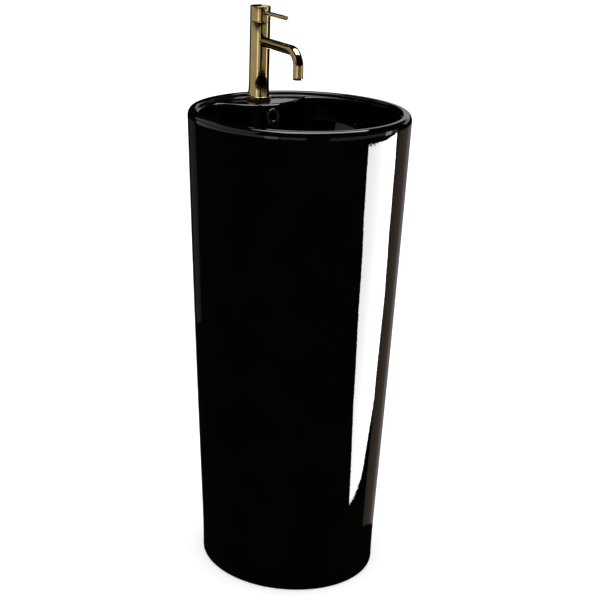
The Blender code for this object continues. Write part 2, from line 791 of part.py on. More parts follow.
def make_trap():
    """The bottle trap under the waste, with its outlet pipe to the column's back."""
    at = (0, BOWL_Y, 0)
    waste_end = FLOOR_Z - WASTE_LENGTH
    washer_top = waste_end - GAP
    flange_top = washer_top - TRAP_WASHER - GAP
    pipe_bore = TRAP_PIPE_RADIUS - TRAP_PIPE_WALL
    flange_radius = WASTE_TUBE_RADIUS
    washer = ring(pipe_bore, flange_radius, washer_top - TRAP_WASHER, washer_top)
    turned("trap_inlet_washer", washer, RUBBER, at)
    pipe_end = TRAP_TOP - TRAP_DIP
    turned(
        "trap_inlet_pipe",
        [
            (pipe_bore, pipe_end),
            (TRAP_PIPE_RADIUS, pipe_end),
            (TRAP_PIPE_RADIUS, flange_top - TRAP_FLANGE),
            (flange_radius, flange_top - TRAP_FLANGE),
            (flange_radius, flange_top),
            (pipe_bore, flange_top),
        ],
        CHROME,
        at,
    )
    nut_low = flange_top - TRAP_FLANGE - GAP - TRAP_NUT_LIP
    turned(
        "trap_inlet_nut",
        [
            (TRAP_PIPE_RADIUS + GAP, nut_low),
            (TRAP_NUT_RADIUS - MM, nut_low),
            (TRAP_NUT_RADIUS, nut_low + MM),
            (TRAP_NUT_RADIUS, waste_end + TRAP_NUT_RISE),
            (WASTE_TUBE_RADIUS + GAP, waste_end + TRAP_NUT_RISE),
            (WASTE_TUBE_RADIUS + GAP, nut_low + TRAP_NUT_LIP),
            (TRAP_PIPE_RADIUS + GAP, nut_low + TRAP_NUT_LIP),
        ],
        CHROME,
        at,
    )
    make_trap_bottle(at)
    make_trap_outlet()


def make_trap_bottle(at):
    inner = TRAP_BODY_RADIUS - TRAP_BODY_WALL
    pipe_hole = TRAP_PIPE_RADIUS + GAP
    body = turned(
        "trap_body",
        [
            (inner, TRAP_JOINT),
            (TRAP_BODY_RADIUS, TRAP_JOINT),
            (TRAP_BODY_RADIUS, TRAP_TOP - 4 * MM),
            (TRAP_BODY_RADIUS - 4 * MM, TRAP_TOP),
            (TRAP_NECK_RADIUS, TRAP_TOP),
            (TRAP_NECK_RADIUS, TRAP_TOP + TRAP_COLLAR),
            (pipe_hole, TRAP_TOP + TRAP_COLLAR),
            (pipe_hole, TRAP_TOP - TRAP_BODY_WALL),
            (inner, TRAP_TOP - TRAP_BODY_WALL - 3 * MM),
        ],
        CHROME,
        at,
    )
    neck_low = inner - 3 * MM
    neck_high = TRAP_BODY_RADIUS + TRAP_NECK_LENGTH
    neck_at = (0, BOWL_Y, TRAP_OUTLET_Z)
    neck_radius = TRAP_PIPE_RADIUS + TRAP_NECK_WALL
    neck = cylinder("trap_neck", neck_radius, neck_low, neck_high, neck_at, axis=BACK)
    boolean(body, neck, "UNION")
    bore_low = TRAP_PIPE_RADIUS + 6 * MM
    bore_high = neck_high + PAST
    bore = cylinder("trap_neck_cutter", pipe_hole, bore_low, bore_high, neck_at, axis=BACK)
    boolean(body, bore)
    nut_z = TRAP_TOP + GAP
    nut_top = nut_z + TRAP_COLLAR + 2 * TRAP_NUT_LIP
    turned(
        "trap_neck_nut",
        [
            (TRAP_NECK_RADIUS + GAP, nut_z),
            (TRAP_NUT_RADIUS, nut_z),
            (TRAP_NUT_RADIUS, nut_top - MM),
            (TRAP_NUT_RADIUS - MM, nut_top),
            (pipe_hole, nut_top),
            (pipe_hole, TRAP_TOP + TRAP_COLLAR + 3 * GAP),
            (TRAP_NECK_RADIUS + GAP, TRAP_TOP + TRAP_COLLAR + 3 * GAP),
        ],
        CHROME,
        at,
    )
    seal_top = TRAP_JOINT - GAP
    seal_low = seal_top - TRAP_CUP_SEAL
    turned("trap_cup_seal", ring(inner, TRAP_BODY_RADIUS, seal_low, seal_top), RUBBER, at)
    rim = seal_low - GAP
    low = rim - TRAP_CUP_HEIGHT
    turned(
        "trap_cup",
        [
            (0, low),
            (TRAP_BODY_RADIUS - 8 * MM, low),
            (TRAP_BODY_RADIUS, low + 8 * MM),
            (TRAP_BODY_RADIUS, rim),
            (inner, rim),
            (inner, low + 10 * MM),
            (inner - 6 * MM, low + TRAP_CUP_WALL),
            (0, low + TRAP_CUP_WALL),
        ],
        PLASTIC,
        at,
    )


def back_of_column(height):
    return BOWL_Y + column_reach(math.pi, height, 0)


def make_trap_outlet():
    neck_end = TRAP_BODY_RADIUS + TRAP_NECK_LENGTH
    end = back_of_column(TRAP_OUTLET_Z) - BOWL_Y - OUTLET_END_INSET
    at = (0, BOWL_Y, TRAP_OUTLET_Z)
    start = TRAP_BODY_RADIUS + 2 * MM
    bore = TRAP_PIPE_RADIUS - TRAP_PIPE_WALL
    pipe = turned("trap_outlet_pipe", ring(bore, TRAP_PIPE_RADIUS, start, end), CHROME, at)
    neck_radius = TRAP_PIPE_RADIUS + TRAP_NECK_WALL
    nut = turned(
        "trap_outlet_nut",
        [
            (neck_radius + GAP, neck_end - 10 * MM),
            (TRAP_NUT_RADIUS, neck_end - 10 * MM),
            (TRAP_NUT_RADIUS, neck_end + 4 * MM),
            (TRAP_NUT_RADIUS - MM, neck_end + 5 * MM),
            (TRAP_PIPE_RADIUS + GAP, neck_end + 5 * MM),
            (TRAP_PIPE_RADIUS + GAP, neck_end + GAP),
            (neck_radius + GAP, neck_end + GAP),
        ],
        CHROME,
        at,
    )
    along(pipe, BACK)
    along(nut, BACK)


def make_tap_base(at):
    low = GAP
    gasket = ring(TAP_HOLE_RADIUS, TAP_RING_RADIUS - 1.5 * MM, low, low + TAP_GASKET)
    turned("tap_base_gasket", gasket, RUBBER, at)
    low += TAP_GASKET + GAP
    profile = [
        (TAP_SPIGOT_RADIUS + GAP, low),
        (TAP_RING_RADIUS, low),
        (TAP_RING_RADIUS, low + TAP_RING - 1.2 * MM),
        (TAP_RING_RADIUS - 1.2 * MM, low + TAP_RING),
        (TAP_SPIGOT_RADIUS + GAP, low + TAP_RING),
    ]
    turned("tap_base_ring", profile, GOLD_PLATE, at, steps=36)


def port_places():
    """The cartridge's three ports, (x, y) from the tap's axis: hot, cold and the mixed outlet."""
    return [(-TAIL_X, TAIL_Y), (TAIL_X, TAIL_Y), (0, -PORT_CIRCLE)]


def make_tap_body(at):
    flare = []
    for i in range(6):
        share = i / 5
        height = BODY_BOTTOM + (TAP_FLARE_TOP - BODY_BOTTOM) * share
        flare.append((TAP_RADIUS + (TAP_BASE_RADIUS - TAP_RADIUS) * (1 - share) ** 2, height))
    edge = 0.5 * MM
    profile = [(TAP_BORE, -2 * MM), (TAP_SPIGOT_RADIUS, -2 * MM), (TAP_SPIGOT_RADIUS, BODY_BOTTOM)]
    profile += flare
    profile += [(TAP_RADIUS, TAP_TOP - edge), (TAP_RADIUS - edge, TAP_TOP)]
    profile += [(CARTRIDGE_BORE, TAP_TOP), (CARTRIDGE_BORE, SEAT), (0, SEAT)]
    profile += [(0, CORE_BOTTOM), (TAP_BORE, CORE_BOTTOM)]
    body = turned("tap_body", profile, GOLD_PLATE, at, steps=36)
    socket_at = (0, TAP_Y, LEDGE_Z + SPOUT_Z)
    socket_low = TAP_RADIUS - SPOUT_SOCKET
    socket_high = TAP_RADIUS + 4 * MM
    reach = (socket_low, socket_high)
    socket = cylinder("spout_socket", SPOUT_RADIUS + GAP, *reach, socket_at, axis=FRONT)
    boolean(body, socket)
    for i, (x, y) in enumerate(port_places()):
        low = CORE_BOTTOM - MM if y > 0 else SPOUT_Z
        where = (x, TAP_Y + y, LEDGE_Z)
        boolean(body, cylinder(f"body_port_{i + 1}", PORT_RADIUS, low, SEAT + PAST, where, 20))
        if y > 0:
            socket_top = CORE_BOTTOM + TAIL_SOCKET + GAP
            name = f"tail_socket_{i + 1}"
            boolean(body, cylinder(name, TAIL_RADIUS + GAP, low, socket_top, where, 24))
    stud_top = CORE_BOTTOM + STUD_SOCKET + GAP
    where = (0, TAP_Y + STUD_Y, LEDGE_Z)
    boolean(body, cylinder("stud_socket", STUD_RADIUS + GAP, CORE_BOTTOM - PAST, stud_top, where, 24))


def spout_route():
    """The spout's centre line, from its socket in the body to its tip."""
    z = LEDGE_Z + SPOUT_Z
    start = TAP_Y - TAP_RADIUS + SPOUT_SOCKET - GAP
    end = TAP_Y - SPOUT_REACH
    points = [(0, start, z), (0, end + SPOUT_BEND, z)]
    for angle in arc(9)[1:]:
        y = end + SPOUT_BEND * (1 - math.sin(angle))
        points.append((0, y, z - SPOUT_BEND * (1 - math.cos(angle))))
    return points + [(0, end, LEDGE_Z + SPOUT_TIP)]


def make_spout():
    spout = curve_mesh("spout", spout_route(), SPOUT_RADIUS, GOLD_PLATE, caps=False, resolution=6)
    wall = spout.modifiers.new("wall", "SOLIDIFY")
    wall.thickness = SPOUT_WALL
    wall.offset = -1
    at = (0, TAP_Y - SPOUT_REACH, LEDGE_Z + SPOUT_TIP)
    outer = SPOUT_RADIUS - SPOUT_WALL - 2 * GAP
    inner = outer - MM
    profile = [
        (inner - MM, 0.5 * MM),
        (outer, 0.5 * MM),
        (outer, 10 * MM),
        (inner, 10 * MM),
        (inner, 2 * MM),
        (inner - MM, 2 * MM),
    ]
    turned("aerator_housing", profile, PLASTIC, at)
    screen = turned("aerator_screen", disc(inner - GAP, 2 * MM + GAP, 5 * MM), PLASTIC, at)
    spots = [(0, 0)]
    for i in range(6):
        turn = math.pi * i / 3
        spots.append((3.6 * MM * math.cos(turn), 3.6 * MM * math.sin(turn)))
    for i, (x, y) in enumerate(spots):
        hole = cylinder(f"screen_hole_{i + 1}", 1.1 * MM, MM, 6 * MM, (x, at[1] + y, at[2]), 12)
        boolean(screen, hole)


def horseshoe():
    """The outline that clamps round the stud and leaves the tails free."""
    half = TAIL_X + TAIL_RADIUS + 1.5 * MM
    back = math.asin(half / HORSESHOE_RADIUS)
    front = TAIL_Y - TAIL_RADIUS - 1.5 * MM
    outline = []
    for i in range(33):
        angle = math.pi / 2 + back + (2 * math.pi - 2 * back) * i / 32
        outline.append((HORSESHOE_RADIUS * math.cos(angle), HORSESHOE_RADIUS * math.sin(angle)))
    return outline + [(half, front), (-half, front)]


def make_tap_fixing(at):
    under = -LEDGE_SLAB
    stud_at = (0, TAP_Y + STUD_Y, LEDGE_Z)
    top = CORE_BOTTOM + STUD_SOCKET
    turned("mounting_stud", disc(STUD_RADIUS, -STUD_DROP, top), STEEL, stud_at, steps=24)
    level = under - GAP
    pieces = (
        ("horseshoe_gasket", HORSESHOE_GASKET, RUBBER),
        ("horseshoe_washer", HORSESHOE_WASHER, STEEL),
    )
    for name, thick, finish in pieces:
        piece = plate(name, horseshoe(), level - thick, level, finish, at)
        low = level - thick - PAST
        hole = cylinder(name + "_hole", STUD_RADIUS + GAP, low, level + PAST, stud_at, 24)
        boolean(piece, hole)
        level -= thick + GAP
    nut = hexagon("mounting_nut", STUD_NUT_RADIUS, level - STUD_NUT, level, BRASS, stud_at)
    low = level - STUD_NUT - PAST
    thread = cylinder("mounting_nut_cutter", STUD_RADIUS + GAP, low, level + PAST, stud_at, 24)
    boolean(nut, thread)
    for name, x in (("inlet_tail_hot", -TAIL_X), ("inlet_tail_cold", TAIL_X)):
        tail = ring(TAIL_RADIUS - TAIL_WALL, TAIL_RADIUS, -TAIL_DROP, CORE_BOTTOM + TAIL_SOCKET)
        turned(name, tail, COPPER, (x, TAP_Y + TAIL_Y, LEDGE_Z), steps=24)


def make_cartridge(at, turning, sliding, tilting):
    low = SEAT + GAP
    seal = turned("cartridge_seal", disc(CARTRIDGE_INNER, low, low + CARTRIDGE_SEAL), RUBBER, at)
    low += CARTRIDGE_SEAL + GAP
    floor = low + CARTRIDGE_FLOOR
    body = turned(
        "cartridge_body",
        [
            (0, low),
            (CARTRIDGE_RADIUS, low),
            (CARTRIDGE_RADIUS, CARTRIDGE_SHOULDER),
            (CARTRIDGE_SHOULDER_RADIUS, CARTRIDGE_SHOULDER),
            (CARTRIDGE_SHOULDER_RADIUS, CARTRIDGE_TOP),
            (CARTRIDGE_INNER, CARTRIDGE_TOP),
            (CARTRIDGE_INNER, floor),
            (0, floor),
        ],
        PLASTIC,
        at,
    )
    fixed_low = floor + GAP
    rim = CARTRIDGE_INNER - GAP
    fixed = turned("disc_fixed", disc(rim, fixed_low, fixed_low + DISC), CERAMIC_WHITE, at)
    for obj in (seal, body, fixed):
        for i, (x, y) in enumerate(port_places()):
            name = f"{obj.name}_port_{i + 1}"
            where = (x * 0.8, TAP_Y + y * 0.8, LEDGE_Z)
            top = fixed_low + DISC + PAST
            boolean(obj, cylinder(name, 0.8 * PORT_RADIUS, SEAT - PAST, top, where, 16))
    nut_low = CARTRIDGE_SHOULDER + GAP
    nut = ring(CARTRIDGE_SHOULDER_RADIUS + GAP, CARTRIDGE_BORE - GAP, nut_low, TAP_TOP - GAP)
    turned("cartridge_nut", nut, BRASS, at)
    moving_low = fixed_low + DISC + GAP
    moving_top = moving_low + DISC
    slider = disc(MOVING_DISC_RADIUS, moving_low, moving_top)
    moving = turned("disc_moving", slider, CERAMIC_WHITE, at, sliding)
    pocket_low = moving_top - DISC_POCKET
    pocket = STEM_BALL_RADIUS + RUN
    boolean(moving, cylinder("disc_pocket", pocket, pocket_low, moving_top + PAST, at, 24))
    make_rotor(at, turning, moving_top + GAP)
    make_stem(at, tilting, pocket_low + RUN)


def make_rotor(at, turning, low):
    rim = CARTRIDGE_INNER - RUN
    rotor = turned("cartridge_rotor", disc(rim, low, ROTOR_TOP), PLASTIC, at, turning)
    side = STEM_HALF + RUN
    below = LEDGE_Z + low - MM
    above = LEDGE_Z + ROTOR_TOP + MM
    near = (-side, TAP_Y - ROTOR_SWING, below)
    far = (side, TAP_Y + ROTOR_SWING, above)
    boolean(rotor, box("rotor_slot", near, far))
    pin_at = (0, TAP_Y, LEDGE_Z + PIVOT_Z)
    boolean(rotor, cylinder("rotor_pin_hole", PIN_RADIUS + RUN, -2 * rim, 2 * rim, pin_at, 20, RIGHT))


def make_stem(at, tilting, low):
    """The square stem that carries the cap, with a ball below the pin that pushes the moving disc."""
    stem = box(
        "cartridge_stem",
        (-STEM_HALF, TAP_Y - STEM_HALF, LEDGE_Z + STEM_SHOULDER),
        (STEM_HALF, TAP_Y + STEM_HALF, LEDGE_Z + CAP_BOTTOM + CAP_SOCKET - GAP),
        STEEL,
        tilting,
    )
    ball = low + STEM_BALL_RADIUS
    tip = [(0, low)]
    for i in range(1, 6):
        angle = math.pi * i / 8
        tip.append((STEM_BALL_RADIUS * math.sin(angle), ball - STEM_BALL_RADIUS * math.cos(angle)))
    tip += [(STEM_NECK_RADIUS, ball + 1.4 * MM), (STEM_NECK_RADIUS, STEM_SHOULDER + MM)]
    tip.append((0, STEM_SHOULDER + MM))
    stem_tip = turned("stem_tip", tip, None, at, None, 20)
    along(stem_tip, UP)
    boolean(stem, stem_tip, "UNION")
    pin_at = (0, TAP_Y, LEDGE_Z + PIVOT_Z)
    boolean(stem, cylinder("stem_pin_hole", PIN_RADIUS + GAP, -10 * MM, 10 * MM, pin_at, 20, RIGHT))
    half = CARTRIDGE_INNER - 2 * MM
    pin = turned("stem_pin", disc(PIN_RADIUS, -half, half), STEEL, pin_at, tilting, 20)
    along(pin, RIGHT)


def make_cap(at, tilting):
    top = CAP_BOTTOM + CAP_HEIGHT
    hollow = CAP_BOTTOM + CAP_HOLLOW
    profile = [
        (CAP_HOLLOW_RADIUS, CAP_BOTTOM),
        (CAP_RADIUS, CAP_BOTTOM),
        (CAP_RADIUS, top - CAP_EDGE),
        (CAP_RADIUS - CAP_EDGE, top),
        (0, top),
        (0, hollow),
        (CAP_HOLLOW_RADIUS, hollow),
    ]
    cap = turned("handle_cap", profile, GOLD_PLATE, at, tilting, steps=36)
    side = STEM_HALF + GAP
    low = LEDGE_Z + hollow - MM
    high = LEDGE_Z + CAP_BOTTOM + CAP_SOCKET
    boolean(cap, box("stem_socket", (-side, TAP_Y - side, low), (side, TAP_Y + side, high)))
    wedge = box("cap_bevel", (-40 * MM, 0, -30 * MM), (40 * MM, 50 * MM, 0))
    turn = math.radians(CAP_BEVEL_DEG)
    across = 25 * MM
    down = -15 * MM
    y = across * math.cos(turn) - down * math.sin(turn)
    z = across * math.sin(turn) + down * math.cos(turn)
    wedge.location = (0, TAP_Y + y, LEDGE_Z + CAP_BOTTOM + z)
    wedge.rotation_euler = (turn, 0, 0)
    boolean(cap, wedge)
    lever_at = (0, TAP_Y, LEDGE_Z + LEVER_Z)
    shank_end = CAP_RADIUS - LEVER_SHANK - MM
    out = CAP_RADIUS + 5 * MM
    boolean(cap, cylinder("shank_hole", LEVER_SHANK_RADIUS + GAP, shank_end, out, lever_at, 24, FRONT))
    grub_at = (0, TAP_Y, LEDGE_Z + GRUB_Z)
    boolean(cap, cylinder("grub_hole", GRUB_RADIUS + GAP, STEM_HALF, out, grub_at, 24, BACK))


def make_lever(tilting):
    face = CAP_RADIUS + GAP
    collar = face + LEVER_COLLAR
    edge = 0.6 * MM
    profile = [
        (0, CAP_RADIUS - LEVER_SHANK),
        (LEVER_SHANK_RADIUS, CAP_RADIUS - LEVER_SHANK),
        (LEVER_SHANK_RADIUS, face),
        (LEVER_COLLAR_RADIUS, face),
        (LEVER_COLLAR_RADIUS, collar - edge),
        (LEVER_COLLAR_RADIUS - edge, collar),
        (LEVER_RADIUS, collar),
        (LEVER_RADIUS, LEVER_REACH - edge),
        (LEVER_RADIUS - edge, LEVER_REACH),
        (0, LEVER_REACH),
    ]
    lever = turned("lever", profile, GOLD_PLATE, (0, TAP_Y, LEDGE_Z + LEVER_Z), tilting)
    along(lever, FRONT)
    start = STEM_HALF + 2 * GAP
    end = start + GRUB_LENGTH
    at = (0, TAP_Y, LEDGE_Z + GRUB_Z)
    screw = turned("grub_screw", disc(GRUB_RADIUS, start, end), STEEL, at, tilting, 24)
    along(screw, BACK)
    lid = disc(GRUB_RADIUS, end + GAP, CAP_RADIUS - 0.4 * MM)
    cover = turned("grub_cover", lid, GOLD_PLATE, at, tilting, 24)
    along(cover, BACK)


def make_tap():
    at = (0, TAP_Y, LEDGE_Z)
    pivot_at = (0, TAP_Y, LEDGE_Z + PIVOT_Z)
    turning = pivot("temperature_turn", pivot_at)
    sliding = pivot("disc_slide", pivot_at, turning)
    tilting = pivot("flow_tilt", pivot_at, turning)
    make_tap_base(at)
    make_tap_body(at)
    make_spout()
    make_tap_fixing(at)
    make_cartridge(at, turning, sliding, tilting)
    make_cap(at, tilting)
    make_lever(tilting)


make_basin()
make_overflow_ring()
make_waste()
make_plug()
make_trap()
make_tap()
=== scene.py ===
"""Looks for the free-standing column basin: glazed ceramic, a gold mixer, and a soft studio.

The pieces that show are made again at high resolution after the CAD model's surfaces, in its frame:
metres, +Z up, the origin at the middle of the foot, the front towards -Y.
"""

import math

import bmesh
import bpy
from mathutils import Matrix, Vector


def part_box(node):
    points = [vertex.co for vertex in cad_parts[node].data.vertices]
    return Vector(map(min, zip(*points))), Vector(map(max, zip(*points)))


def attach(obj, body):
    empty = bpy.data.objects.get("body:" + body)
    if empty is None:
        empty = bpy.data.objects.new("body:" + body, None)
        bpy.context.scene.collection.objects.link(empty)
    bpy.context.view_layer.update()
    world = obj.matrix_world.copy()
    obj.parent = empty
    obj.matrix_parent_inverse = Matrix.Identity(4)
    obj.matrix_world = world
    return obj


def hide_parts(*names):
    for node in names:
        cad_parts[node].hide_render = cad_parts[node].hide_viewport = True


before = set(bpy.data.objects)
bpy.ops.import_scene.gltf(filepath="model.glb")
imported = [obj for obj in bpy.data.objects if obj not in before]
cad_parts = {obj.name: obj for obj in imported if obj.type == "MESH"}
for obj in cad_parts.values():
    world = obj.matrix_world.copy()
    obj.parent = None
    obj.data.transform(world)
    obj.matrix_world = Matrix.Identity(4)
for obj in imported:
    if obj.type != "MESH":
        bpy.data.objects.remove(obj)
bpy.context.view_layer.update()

MM = 0.001
FIXED = "basin_fixed"

# The basin's driving sizes, read from the frame where a node shows them
BASIN_LOW, BASIN_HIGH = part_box("basin")
HEIGHT = BASIN_HIGH.z
RIM_RADIUS = min(BASIN_HIGH.x, BASIN_HIGH.y)
FOOT_HALF_WIDTH = 160 * MM
FOOT_HALF_DEPTH = 175 * MM
BELLY = 0.045
STRAIGHT_FOOT = 0.05
FOOT_ROUND = 3 * MM
LIP_HEIGHT = 12 * MM
LIP_INSET = 8 * MM
RIM_THICKNESS = 17 * MM
RIM_INNER_ROUND = 4 * MM
COLUMN_WALL = 14 * MM
CAVITY_CORNER = 3 * MM
LEDGE_DROP = 8 * MM
LEDGE_FILLET = 3 * MM
LEDGE_SLAB = 16 * MM
LEDGE_BULGE_RADIUS = 88 * MM
LEDGE_BULGE_Y = 190 * MM
LEDGE_BLEND = 26 * MM
LEDGE_EDGE_ROUND = 6 * MM
BOWL_DEPTH = 150 * MM
BOWL_Y = -40 * MM
BOWL_WALL = 14 * MM
BOWL_SQUARENESS = 2.6
BOWL_STEP = 0.6 * MM
FLOOR_RADIUS = 37 * MM
BOSS_RADIUS = 40 * MM
BOSS_HEIGHT = 34 * MM
SLOT_WIDTH = 150 * MM
SLOT_HEIGHT = 600 * MM
SLOT_ROUND = 3 * MM
WASTE_HOLE_RADIUS = 23 * MM
WASTE_RECESS = 4 * MM
RECESS_RADIUS = 33.5 * MM
OVERFLOW_DROP = 30 * MM
OVERFLOW_RADIUS = 11.5 * MM
OVERFLOW_SEAT = 14.3 * MM
OVERFLOW_DEPTH = 15 * MM
TAP_Y = 157 * MM
TAP_HOLE_RADIUS = 17.5 * MM
AROUND = 216
WALL_RINGS = 72
BOWL_RINGS = 40

RIM_INNER = RIM_RADIUS - RIM_THICKNESS
LEDGE_Z = HEIGHT - LEDGE_DROP
FLOOR_Z = HEIGHT - BOWL_DEPTH
BOSS_Z = FLOOR_Z - BOSS_HEIGHT
OVERFLOW_Z = HEIGHT - OVERFLOW_DROP

UP = (0, 0, 1)
BACK = (0, 1, 0)
FRONT = (0, -1, 0)
SEAM_TURN = 0.013
SMOOTH_DEG = 32
FOOT_BLEND = 0.001
EDGE_SHARE = 0.6
RING_SPREAD = 1.15
BOWL_BISECTIONS = 24
CAVITY_BISECTIONS = 30
JAMB_STEPS = 40
ARCH_STEPS = 48
SLOT_ROUND_STEPS = 8

# How far the cutters run past what they open
PAST_FOOT = 10 * MM
PAST_SLOT_OUTSIDE = 4 * MM
PAST_SLOT_INSIDE = 60 * MM
PAST_SLOT_FLARE = 0.4 * MM
PAST_MOUTH = 5 * MM
PAST_LEDGE_BELOW = 30 * MM
PAST_LEDGE_ABOVE = 20 * MM


# ---------------------------------------------------------------- materials

GLAZE_WAVE = 1.6 * MM
GLAZE_PEEL = 0.03 * MM
FINE_GRAIN = 0.012 * MM
TURNED_GRAIN = 0.03 * MM
MOULD_GRAIN = 0.04 * MM
LAPPED_GRAIN = 0.01 * MM


def new_material(name, color, metallic, roughness):
    made = bpy.data.materials.new(name)
    made.use_nodes = True
    shader = made.node_tree.nodes["Principled BSDF"]
    shader.inputs["Base Color"].default_value = (*color, 1)
    shader.inputs["Metallic"].default_value = metallic
    shader.inputs["Roughness"].default_value = roughness
    return made, made.node_tree, shader


def noise(tree, scale, detail=2.0, stretch=(1, 1, 1)):
    """Noise in the object's own metres, so that it stays on the piece as it moves."""
    place = tree.nodes.new("ShaderNodeTexCoord")
    mapping = tree.nodes.new("ShaderNodeMapping")
    mapping.inputs["Scale"].default_value = stretch
    tree.links.new(place.outputs["Object"], mapping.inputs["Vector"])
    texture = tree.nodes.new("ShaderNodeTexNoise")
    texture.inputs["Scale"].default_value = scale
    texture.inputs["Detail"].default_value = detail
    tree.links.new(mapping.outputs["Vector"], texture.inputs["Vector"])
    return texture.outputs["Fac"]


def remap(tree, value, low, high, start=0.3, end=0.7):
    node = tree.nodes.new("ShaderNodeMapRange")
    node.inputs["From Min"].default_value = start
    node.inputs["From Max"].default_value = end
    node.inputs["To Min"].default_value = low
    node.inputs["To Max"].default_value = high
    tree.links.new(value, node.inputs["Value"])
    return node.outputs["Result"]


def mix_colors(tree, factor, first, second):
    ramp = tree.nodes.new("ShaderNodeValToRGB")
    ramp.color_ramp.elements[0].position = 0.35
    ramp.color_ramp.elements[1].position = 0.65
    ramp.color_ramp.elements[0].color = (*first, 1)
    ramp.color_ramp.elements[1].color = (*second, 1)
    tree.links.new(factor, ramp.inputs["Fac"])
    return ramp.outputs["Color"]


def bump(tree, shader, height, distance, before=None):
    node = tree.nodes.new("ShaderNodeBump")
    node.inputs["Distance"].default_value = distance
    node.inputs["Strength"].default_value = 1
    tree.links.new(height, node.inputs["Height"])
    if before:
        tree.links.new(before, node.inputs["Normal"])
    tree.links.new(node.outputs["Normal"], shader.inputs["Normal"])
    return node.outputs["Normal"]


def black_glaze():
    """Poured glaze: a slow waviness from the firing, a faint orange peel, and a glassy coat."""
    made, tree, shader = new_material("black_glaze", (0.0007, 0.0007, 0.0008), 0, 0.015)
    shader.inputs["IOR"].default_value = 1.52
    wave = noise(tree, 9, 1.0, (1, 1, 0.45))
    peel = noise(tree, 190, 2.0)
    first = bump(tree, shader, wave, GLAZE_WAVE)
    bump(tree, shader, peel, GLAZE_PEEL, first)
    tree.links.new(remap(tree, noise(tree, 30, 4), 0.012, 0.022), shader.inputs["Roughness"])
    tint = mix_colors(tree, noise(tree, 14, 3), (0.0005, 0.0005, 0.0006), (0.0010, 0.0009, 0.0011))
    tree.links.new(tint, shader.inputs["Base Color"])
    return made


def metal(name, first, second, rough, brushed=(1, 1, 1), grain=260, depth=FINE_GRAIN):
    made, tree, shader = new_material(name, first, 1, rough)
    tint = mix_colors(tree, noise(tree, 38, 3), first, second)
    tree.links.new(tint, shader.inputs["Base Color"])
    wear = remap(tree, noise(tree, 75, 5, brushed), rough * 0.7, rough * 1.5)
    tree.links.new(wear, shader.inputs["Roughness"])
    bump(tree, shader, noise(tree, grain, 3, brushed), depth)
    return made


def dull(name, first, second, rough, grain=420, depth=MOULD_GRAIN):
    """Rubber, plastic and fired clay: uneven tone over a fine grain."""
    made, tree, shader = new_material(name, first, 0, rough)
    tint = mix_colors(tree, noise(tree, 55, 4), first, second)
    tree.links.new(tint, shader.inputs["Base Color"])
    wear = remap(tree, noise(tree, 120, 4), rough * 0.8, min(1, rough * 1.25))
    tree.links.new(wear, shader.inputs["Roughness"])
    bump(tree, shader, noise(tree, grain, 4), depth)
    return made


GLAZE = black_glaze()
GOLD = metal("polished_gold", (0.52, 0.385, 0.175), (0.60, 0.455, 0.22), 0.07)
BRASS = metal("machined_brass", (0.62, 0.47, 0.22), (0.50, 0.36, 0.15), 0.26, (1, 1, 9), 300, TURNED_GRAIN)
CHROME = metal("polished_chrome", (0.78, 0.79, 0.81), (0.70, 0.71, 0.73), 0.07)
DARK_CHROME = metal("dark_chrome", (0.30, 0.29, 0.30), (0.38, 0.37, 0.38), 0.10)
STEEL = metal("machined_steel", (0.56, 0.56, 0.57), (0.45, 0.45, 0.46), 0.28, (1, 1, 9), 300, TURNED_GRAIN)
COPPER = metal("copper_tube", (0.66, 0.30, 0.17), (0.52, 0.22, 0.12), 0.22)
RUBBER = dull("black_rubber", (0.016, 0.016, 0.017), (0.028, 0.027, 0.027), 0.55)
PLASTIC = dull("moulded_plastic", (0.70, 0.70, 0.67), (0.62, 0.62, 0.59), 0.38)
ALUMINA = dull("lapped_alumina", (0.82, 0.80, 0.75), (0.76, 0.74, 0.69), 0.22, depth=LAPPED_GRAIN)

NODE_MATERIALS = {
    "basin": GLAZE,
    "overflow_ring": DARK_CHROME,
    "waste_body": GOLD,
    "plug_cap": GOLD,
    "tap_base_ring": GOLD,
    "tap_body": GOLD,
    "spout": GOLD,
    "handle_cap": GOLD,
    "lever": GOLD,
    "grub_cover": GOLD,
    "waste_backnut": BRASS,
    "plug_stem": BRASS,
    "plug_guide": BRASS,
    "cartridge_nut": BRASS,
    "mounting_nut": BRASS,
    "plug_spring": STEEL,
    "cartridge_stem": STEEL,
    "stem_pin": STEEL,
    "grub_screw": STEEL,
    "mounting_stud": STEEL,
    "horseshoe_washer": STEEL,
    "trap_inlet_pipe": CHROME,
    "trap_inlet_nut": CHROME,
    "trap_neck_nut": CHROME,
    "trap_body": CHROME,
    "trap_outlet_nut": CHROME,
    "trap_outlet_pipe": CHROME,
    "inlet_tail_hot": COPPER,
    "inlet_tail_cold": COPPER,
    "trap_cup": PLASTIC,
    "aerator_housing": PLASTIC,
    "aerator_screen": PLASTIC,
    "cartridge_body": PLASTIC,
    "cartridge_rotor": PLASTIC,
    "disc_fixed": ALUMINA,
    "disc_moving": ALUMINA,
}


def dress_nodes():
    """Every CAD node gets its material, and smooth shading that keeps its corners."""
    for name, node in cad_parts.items():
        node.data.materials.clear()
        node.data.materials.append(NODE_MATERIALS.get(name, RUBBER))
        weld = node.modifiers.new("weld", "WELD")
        weld.merge_threshold = 0.01 * MM
        smooth(node)


# ---------------------------------------------------------------- building blocks


def smooth(obj, degrees=SMOOTH_DEG):
    """Smooth shading with the corners kept, after the object's other modifiers."""
    obj.data.shade_smooth()
    tree = bpy.data.node_groups.get(f"smooth_{degrees}") or smooth_group(degrees)
    obj.modifiers.new("corners", "NODES").node_group = tree


